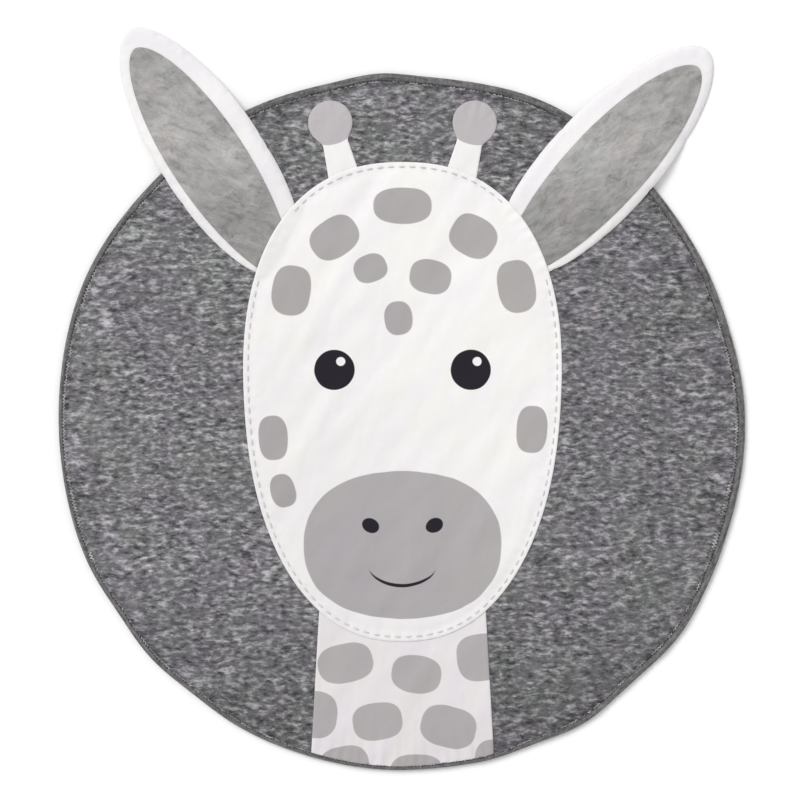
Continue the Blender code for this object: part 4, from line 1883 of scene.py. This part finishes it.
def stitch_row(name: str, runs: list[np.ndarray], radius: float,
               finish: bpy.types.Material) -> bpy.types.Object:
    """Makes a row of stitches as one mesh.

    Args:
        name: name of the piece.
        runs: the points of each stitch.
        radius: radius of the thread.
        finish: its material.

    Returns:
        The new object.
    """
    curve = bpy.data.curves.new(name, "CURVE")
    curve.dimensions = "3D"
    curve.bevel_depth = radius
    curve.bevel_resolution = 1
    curve.use_fill_caps = True
    for run in runs:
        spline = curve.splines.new("POLY")
        spline.points.add(len(run) - 1)
        for number, (point, place) in enumerate(zip(spline.points, run)):
            point.co = (*place, 1.0)
            point.radius = THREAD_END if number in (0, len(run) - 1) else 1.0
    piece = bpy.data.objects.new(name, curve)
    bpy.context.scene.collection.objects.link(piece)
    bpy.ops.object.select_all(action="DESELECT")
    piece.select_set(True)
    bpy.context.view_layer.objects.active = piece
    bpy.ops.object.convert(target="MESH")
    piece.data.shade_smooth()
    piece.data.materials.clear()
    piece.data.materials.append(finish)
    return piece


@dataclass
class Panel:
    """A flat cotton panel that lies on the padding, its edges folded under."""

    name: str
    node: str
    lines: list[np.ndarray]
    covers: Cover
    inks: tuple[Ink, ...]
    effects: Effects
    white: Colour = COTTON_WHITE
    step: float = 0.0034
    thickness: float = 0.0012
    hem_rise: float = 0.0005
    hem_width: float = 0.008
    hem_softness: float = 0.003
    hem_start: float = 0.0014
    wave_reach: float = 0.020
    crumple_reach: float = 0.006
    sharp_deg: float = 80.0
    slope: float = 0.35
    creases: tuple[Fold, ...] = ()
    crease_reach: float = 0.020
    sewn_line: np.ndarray | None = None
    gather_rise: float = 0.00045
    # pitch and share of each wave
    gather_pitches: tuple[tuple[float, float], ...] = ((0.016, 1.0), (0.0271, 0.6))
    gather_reach: float = 0.0075
    gather_step: float = 0.002
    crumple: Crumple = Crumple(0.00008, 0.012, 0.045, 50.0, 40.0, 31)
    wave: Crumple = Crumple(0.00040, 0.034, 0.095, 50.0, 13.0, 37)

    def gathers(self, points: np.ndarray) -> np.ndarray:
        """Small uneven rises of the cloth between the stitches of a running stitch.

        Args:
            points: one row for each point.

        Returns:
            One height for each point.
        """
        if self.sewn_line is None:
            return np.zeros(len(points))
        line = resampled(self.sewn_line, self.gather_step)
        along, away = np.empty(len(points)), np.empty(len(points))
        for first in range(0, len(points), CHUNK):
            part = slice(first, first + CHUNK)
            squared = ((points[part, None, :] - line[None]) ** 2).sum(axis=2)
            nearest = squared.argmin(axis=1)
            along[part] = self.gather_step * nearest
            away[part] = np.sqrt(squared[np.arange(len(nearest)), nearest])
        wave = sum(share * np.sin(2.0 * math.pi * along / pitch) for pitch, share in self.gather_pitches)
        return self.gather_rise * wave * np.exp(-(away / self.gather_reach) ** 2)

    def build(self, terrain: Terrain) -> None:
        """Makes the panel and lays it down.

        Args:
            terrain: heights of what is laid, raised by the panel.
        """
        pattern = cut(self.lines, self.covers, self.step)
        points, from_edge = pattern.points, pattern.from_edge
        support = terrain.read(points, terrain.drape(self.slope)) + GAP
        support += np.maximum(folded(points, self.creases), 0.0) * ease(from_edge / self.crease_reach)
        support += (self.wave.at(points) + self.wave.height) * ease(from_edge / self.wave_reach)
        share = edge_share(from_edge)
        bottom = support + 0.5 * (1.0 - share) * self.thickness
        hem = self.hem_rise * ease((self.hem_width - from_edge) / self.hem_softness)
        ripple = self.crumple.at(points) * ease(from_edge / self.crumple_reach) + self.gathers(points)
        top = support + self.thickness * share + hem * dome(from_edge / self.hem_start)
        top += np.maximum(ripple, -0.5 * self.thickness)
        finish = PrintedCotton(f"{self.node}_cotton", self.inks, self.white).material(self.effects)
        piece = cloth_piece(self.name, pattern, bottom, top, finish)
        piece.data.set_sharp_from_angle(angle=math.radians(self.sharp_deg))
        seat(piece, Slot.COTTON, self.node)
        lay_sheet(piece, pattern, pattern.flat_size())
        terrain.raise_by(piece)


@dataclass
class StuffedEar:
    """A stuffed cotton ear that lies over the rim, with grey cloth on its front."""

    leaf: Leaf
    effects: Effects
    step: float = 0.0042
    crown: float = 0.0150
    seam_lift: float = 0.0022
    lift_reach: float = 0.026
    root_run: float = 0.090
    root_fill: float = 0.05
    root_thickness: float = 0.0026
    root_dome: float = 0.006
    root_margin: float = 0.003
    fill: float = 0.6
    quick_dome: float = 0.062
    fall: float = 0.092
    clearance: float = 0.0022
    seam_gap: float = 0.0002
    start: float = 0.0006
    frames: int = 26
    pressure: float = 4.0
    fabric: tuple[tuple[str, float], ...] = (
        ("quality", 6),
        ("mass", 0.2),
        ("air_damping", 2.0),
        ("tension_stiffness", 20.0),
        ("compression_stiffness", 12.0),
        ("shear_stiffness", 8.0),
        ("bending_stiffness", 0.25),
    )
    pull: float = 0.30
    lining_margin: float = 0.023
    lining_shift: float = 0.007
    lining_thickness: float = 0.0011
    lining_step: float = 0.0029
    lining_crumple_reach: float = 0.010
    deepest_hollow: float = -0.0002
    creases: tuple[Fold, ...] = ()
    streak_turn_deg: float = 24.0
    crumple: Crumple = Crumple(0.00036, 0.010, 0.034, 35.0, 30.0, 41)
    pucker: Crumple = Crumple(0.00075, 0.011, 0.026, 40.0, 70.0, 43)
    pucker_reach: float = 0.011
    pucker_start: float = 0.004

    def underside(self, points: np.ndarray, below: np.ndarray) -> np.ndarray:
        """Height of the ear's underside: on the body, clear of the binding, then down to the floor.

        Args:
            points: one row for each point.
            below: height of what is laid under each point.

        Returns:
            One height for each point.
        """
        past_rim = RIM.past_rim(points)
        bridge = EdgeBinding.height + self.clearance
        falling = bridge * (1.0 - ease((past_rim - self.clearance) / self.fall))
        on_body = RIM.inside_seam(points) > 0.0
        return np.where(on_body, np.maximum(below + GAP, bridge), falling) + self.seam_gap

    def stuffing(self, pattern: Pattern) -> tuple[np.ndarray, np.ndarray]:
        """Blows up two sewn layers of the pattern, as stuffing does.

        Args:
            pattern: the flat cut of the ear.

        Returns:
            Half thickness at each point, greatest 1, and how far each point is pulled in the plane.
        """
        count = len(pattern.points)
        loose, lower = pattern.back_numbers()
        front = np.column_stack([pattern.points, np.where(pattern.from_edge > 0.0, self.start, 0.0)])
        back = np.column_stack([pattern.points[loose], np.full(len(loose), -self.start)])
        faces = pattern.triangles.tolist() + lower[pattern.triangles][:, ::-1].tolist()
        bag = new_piece("ear_bag", np.vstack([front, back]), faces, bpy.data.materials.new("bag"))
        root = bag.vertex_groups.new(name="root")
        held = np.flatnonzero(HEAD.covers(pattern.points, STITCH_INSET - self.root_margin))
        root.add([*held.tolist(), *lower[held].tolist()], 1.0, "REPLACE")
        cloth = bag.modifiers.new("stuffing", "CLOTH")
        for setting, value in self.fabric:
            setattr(cloth.settings, setting, value)
        cloth.settings.use_pressure = True
        cloth.settings.uniform_pressure_force = self.pressure
        cloth.settings.vertex_group_mass = "root"
        cloth.settings.effector_weights.gravity = 0.0
        cloth.collision_settings.use_collision = False
        scene = bpy.context.scene
        for frame in range(1, self.frames + 1):
            scene.frame_set(frame)
        done = bag.evaluated_get(bpy.context.evaluated_depsgraph_get())
        places = np.empty(3 * len(done.data.vertices))
        done.data.vertices.foreach_get("co", places)
        places = places.reshape(-1, 3)
        bpy.data.objects.remove(bag)
        scene.frame_set(1)
        half = 0.5 * (places[:count, 2] - places[lower, 2])
        LOG.info("ear bag: half thickness %.4f m", half.max())
        return np.maximum(half, 0.0) / half.max(), places[:count, :2] - pattern.points

    def build(self, terrain: Terrain) -> None:
        """Makes the ear and its lining cloth.

        Args:
            terrain: heights of what is laid, raised by both.
        """
        word = self.leaf.side.word
        pattern = cut([self.leaf.outline(), STITCH_LINE], outside_stitch(self.leaf.covers), self.step)
        half, pulled = self.stuffing(pattern)
        along, _ = self.leaf.local(pattern.points)
        fill = self.root_fill + (1.0 - self.root_fill) * ease((along - self.leaf.root_tuck) / self.root_run)
        points = pattern.points + self.pull * pulled
        thickness = (self.crown - self.root_thickness) * half * fill
        thickness += self.root_thickness * dome(pattern.from_edge / self.root_dome)
        lift = self.seam_lift * (1.0 - ease(pattern.from_edge / self.lift_reach)) * fill
        bottom = self.underside(points, terrain.read(points)) + lift
        gathered = np.exp(-pattern.from_edge / self.pucker_reach)
        gathered *= ease(pattern.from_edge / self.pucker_start)
        top = bottom + thickness + self.pucker.at(points) * gathered
        piece = self.bag(f"ear_{word}_stuffed", pattern, points, bottom, top)
        seat(piece, Slot.COTTON, f"ear_{word}")
        terrain.raise_by(piece)
        self.lining(terrain)

    def bag(self, name: str, pattern: Pattern, points: np.ndarray, bottom: np.ndarray,
            top: np.ndarray) -> bpy.types.Object:
        """Makes the closed ear, its front and back sewn at the edge.

        Args:
            name: name of the piece.
            pattern: the flat cut.
            points: the pattern's points after stuffing.
            bottom: height of the back.
            top: height of the front.

        Returns:
            The new object.
        """
        loose, lower = pattern.back_numbers()
        front = np.column_stack([points, top])
        back = np.column_stack([points[loose], bottom[loose]])
        open_ones = pattern.triangles[(lower[pattern.triangles] >= len(points)).any(axis=1)]
        faces = open_ones.tolist() + lower[open_ones][:, ::-1].tolist()
        finish = PrintedCotton(f"{name}_cotton", (), EAR_WHITE).material(self.effects)
        return new_piece(name, np.vstack([front, back]), faces, finish)

    def lining(self, terrain: Terrain) -> None:
        """Lays the grey cloth on the ear's front.

        Args:
            terrain: heights of what is laid, raised by the cloth.
        """
        word = self.leaf.side.word
        leaf = Leaf(self.leaf.side, self.leaf.root, self.leaf.tip, self.leaf.half_width,
                    self.lining_margin, -self.leaf.side.value * self.lining_shift)
        pattern = cut([leaf.outline(), STITCH_LINE], outside_stitch(leaf.covers), self.lining_step)
        points, from_edge = pattern.points, pattern.from_edge
        rise = np.maximum(folded(points, self.creases) + self.crumple.at(points), self.deepest_hollow)
        bottom = terrain.read(points) + GAP
        top = bottom + self.lining_thickness * edge_share(from_edge)
        top += rise * ease(from_edge / self.lining_crumple_reach)
        finish = LiningCloth(f"lining_{word}_cloth", self.streak_turn_deg).material(self.effects)
        piece = cloth_piece(f"ear_lining_{word}_cloth", pattern, bottom, top, finish)
        seat(piece, Slot.LINING, f"ear_lining_{word}")
        lay_sheet(piece, pattern, pattern.flat_size(leaf.axis()[1]))
        terrain.raise_by(piece)


@dataclass
class RunningStitch:
    """Thick grey thread that runs round inside the head's edge."""

    effects: Effects
    ears: tuple[Leaf, ...]
    inset: float = 0.0068
    pitch: float = 0.0153
    dash: float = 0.0092
    radius: float = 0.0012
    points: int = 7
    dip: float = 0.0009
    lift: float = 0.0005
    ear_gap: float = 0.054
    line_step: float = 0.001

    def build(self, terrain: Terrain) -> None:
        """Sews the stitches into the head panel.

        Args:
            terrain: heights of what is laid.
        """
        line = resampled(HEAD.outline(self.inset), self.line_step)
        closed = np.vstack([line, line[:1]])
        count = round(len(line) * self.line_step / self.pitch)
        share = self.dash / self.pitch
        arch = dome(1.0 - np.abs(np.linspace(-1.0, 1.0, self.points)))
        runs = []
        for number in range(count):
            places = (number + np.linspace(0.0, share, self.points)) * len(line) / count
            run = np.column_stack([np.interp(places, np.arange(len(closed)), axis) for axis in closed.T])
            if min(np.hypot(*(run - np.array(ear.root)).T).min() for ear in self.ears) < self.ear_gap:
                continue
            height = terrain.read(run) + self.lift - self.dip * (1.0 - arch)
            runs.append(np.column_stack([run, height]))
        thread = Thread("running_thread", (0.700, 0.686, 0.698))
        piece = stitch_row("running_stitch", runs, self.radius, thread.material(self.effects))
        seat(piece, Slot.COTTON)


@dataclass
class Studio:
    """Pale floor, soft light and the camera above the mat."""

    effects: Effects
    floor_size: float = 12.0
    floor_drop: float = 0.0004
    floor_tone: float = 0.99
    floor_low: float = 0.995
    floor_grain: Grain = Grain((3.0, 3.0, 3.0))
    sky: float = 0.708
    sun: float = 1.480
    sun_tilt_deg: tuple[float, float] = (38.0, 138.0)
    sun_softness_deg: float = 30.0
    camera_height: float = 6.0
    view_width: float = 1.1548
    view_centre: tuple[float, float] = (-0.0036, 0.0325)
    sensor: float = 36.0
    far_clip: float = 50.0

    def build(self) -> None:
        """Makes floor, light and camera."""
        self.floor()
        self.lights()
        self.camera()

    def floor(self) -> None:
        """A plain pale floor just under the mat."""
        bpy.ops.object.select_all(action="DESELECT")
        bpy.ops.mesh.primitive_plane_add(size=self.floor_size, location=(0.0, 0.0, -self.floor_drop))
        floor = bpy.context.active_object
        floor.name = "floor"
        paint = Surface.start(self.effects, "floor_paint", roughness=0.9, specular=0.0, sheen=0.0)
        tones = [(self.floor_tone * share,) * 3 for share in (self.floor_low, 1.0)]
        paint.colour(paint.bench.blend(self.floor_grain.on(paint.bench, paint.place), *tones))
        floor.data.materials.append(paint.material)

    def lights(self) -> None:
        """An even bright sky and one soft key light from the upper left."""
        scene = bpy.context.scene
        scene.view_settings.view_transform = "Standard"
        world = bpy.data.worlds.new("studio")
        world.use_nodes = True
        sky = world.node_tree.nodes["Background"]
        sky.inputs["Color"].default_value = (1.0, 1.0, 1.0, 1.0)
        sky.inputs["Strength"].default_value = self.sky
        scene.world = world
        lamp = bpy.data.lights.new("key", "SUN")
        lamp.energy = self.sun
        lamp.angle = math.radians(self.sun_softness_deg)
        key = bpy.data.objects.new("key", lamp)
        tilt, turn = (math.radians(angle) for angle in self.sun_tilt_deg)
        towards = Vector((math.sin(tilt) * math.cos(turn), math.sin(tilt) * math.sin(turn), math.cos(tilt)))
        key.rotation_euler = towards.to_track_quat("Z", "Y").to_euler()
        scene.collection.objects.link(key)

    def camera(self) -> None:
        """A long lens straight above the mat."""
        scene = bpy.context.scene
        lens = bpy.data.cameras.new("camera")
        lens.sensor_width = self.sensor
        lens.lens = self.sensor * self.camera_height / self.view_width
        lens.clip_end = self.far_clip
        camera = bpy.data.objects.new("camera", lens)
        camera.location = (*self.view_centre, self.camera_height)
        scene.collection.objects.link(camera)
        scene.camera = camera


def corners(box: tuple[Vector, Vector]) -> list[list[float]]:
    """A box as plain lists of numbers."""
    return [list(corner) for corner in box]


def main() -> None:
    """Builds the mat piece by piece."""
    logging.basicConfig(level=logging.INFO, format="%(name)s: %(message)s")
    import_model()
    effects = Effects()
    terrain = Terrain()
    MatBody(effects).build(terrain)
    binding = EdgeBinding(effects)
    binding.build(terrain)
    neck = Column()
    Panel("neck_panel_cloth", "neck_panel", [neck.outline(), STITCH_LINE, RIM.seam()],
          outside_stitch(lambda points: neck.covers(points) & (RIM.inside_seam(points) > 0.0)),
          NECK_INKS, effects, NECK_WHITE).build(terrain)
    binding.stitches(terrain)
    for side in Side:
        horn = Horn(side)
        Panel(f"horn_{side.word}_cloth", f"horn_{side.word}", [horn.outline(), STITCH_LINE],
              outside_stitch(horn.covers), HORN_INKS, effects, HORN_WHITE,
              creases=horn.tip_creases(), crease_reach=0.006).build(terrain)
    leaves = (
        Leaf(Side.LEFT, (-0.194, 0.262), (-0.396, 0.567), 0.077),
        Leaf(Side.RIGHT, (0.186, 0.262), (0.441, 0.538), 0.079),
    )
    for leaf, creases, turn_deg in zip(leaves, (LEFT_LINING_CREASES, RIGHT_LINING_CREASES), (24.0, -32.0)):
        StuffedEar(leaf, effects, creases=creases, streak_turn_deg=turn_deg).build(terrain)
    Panel("head_panel_cloth", "head_panel", [HEAD.outline()], HEAD.covers, HEAD_INKS, effects,
          slope=0.22, creases=HEAD_CREASES, sewn_line=HEAD.outline(RunningStitch.inset)).build(terrain)
    RunningStitch(effects, leaves).build(terrain)
    Studio(effects).build()


if __name__ == "__main__":
    main()
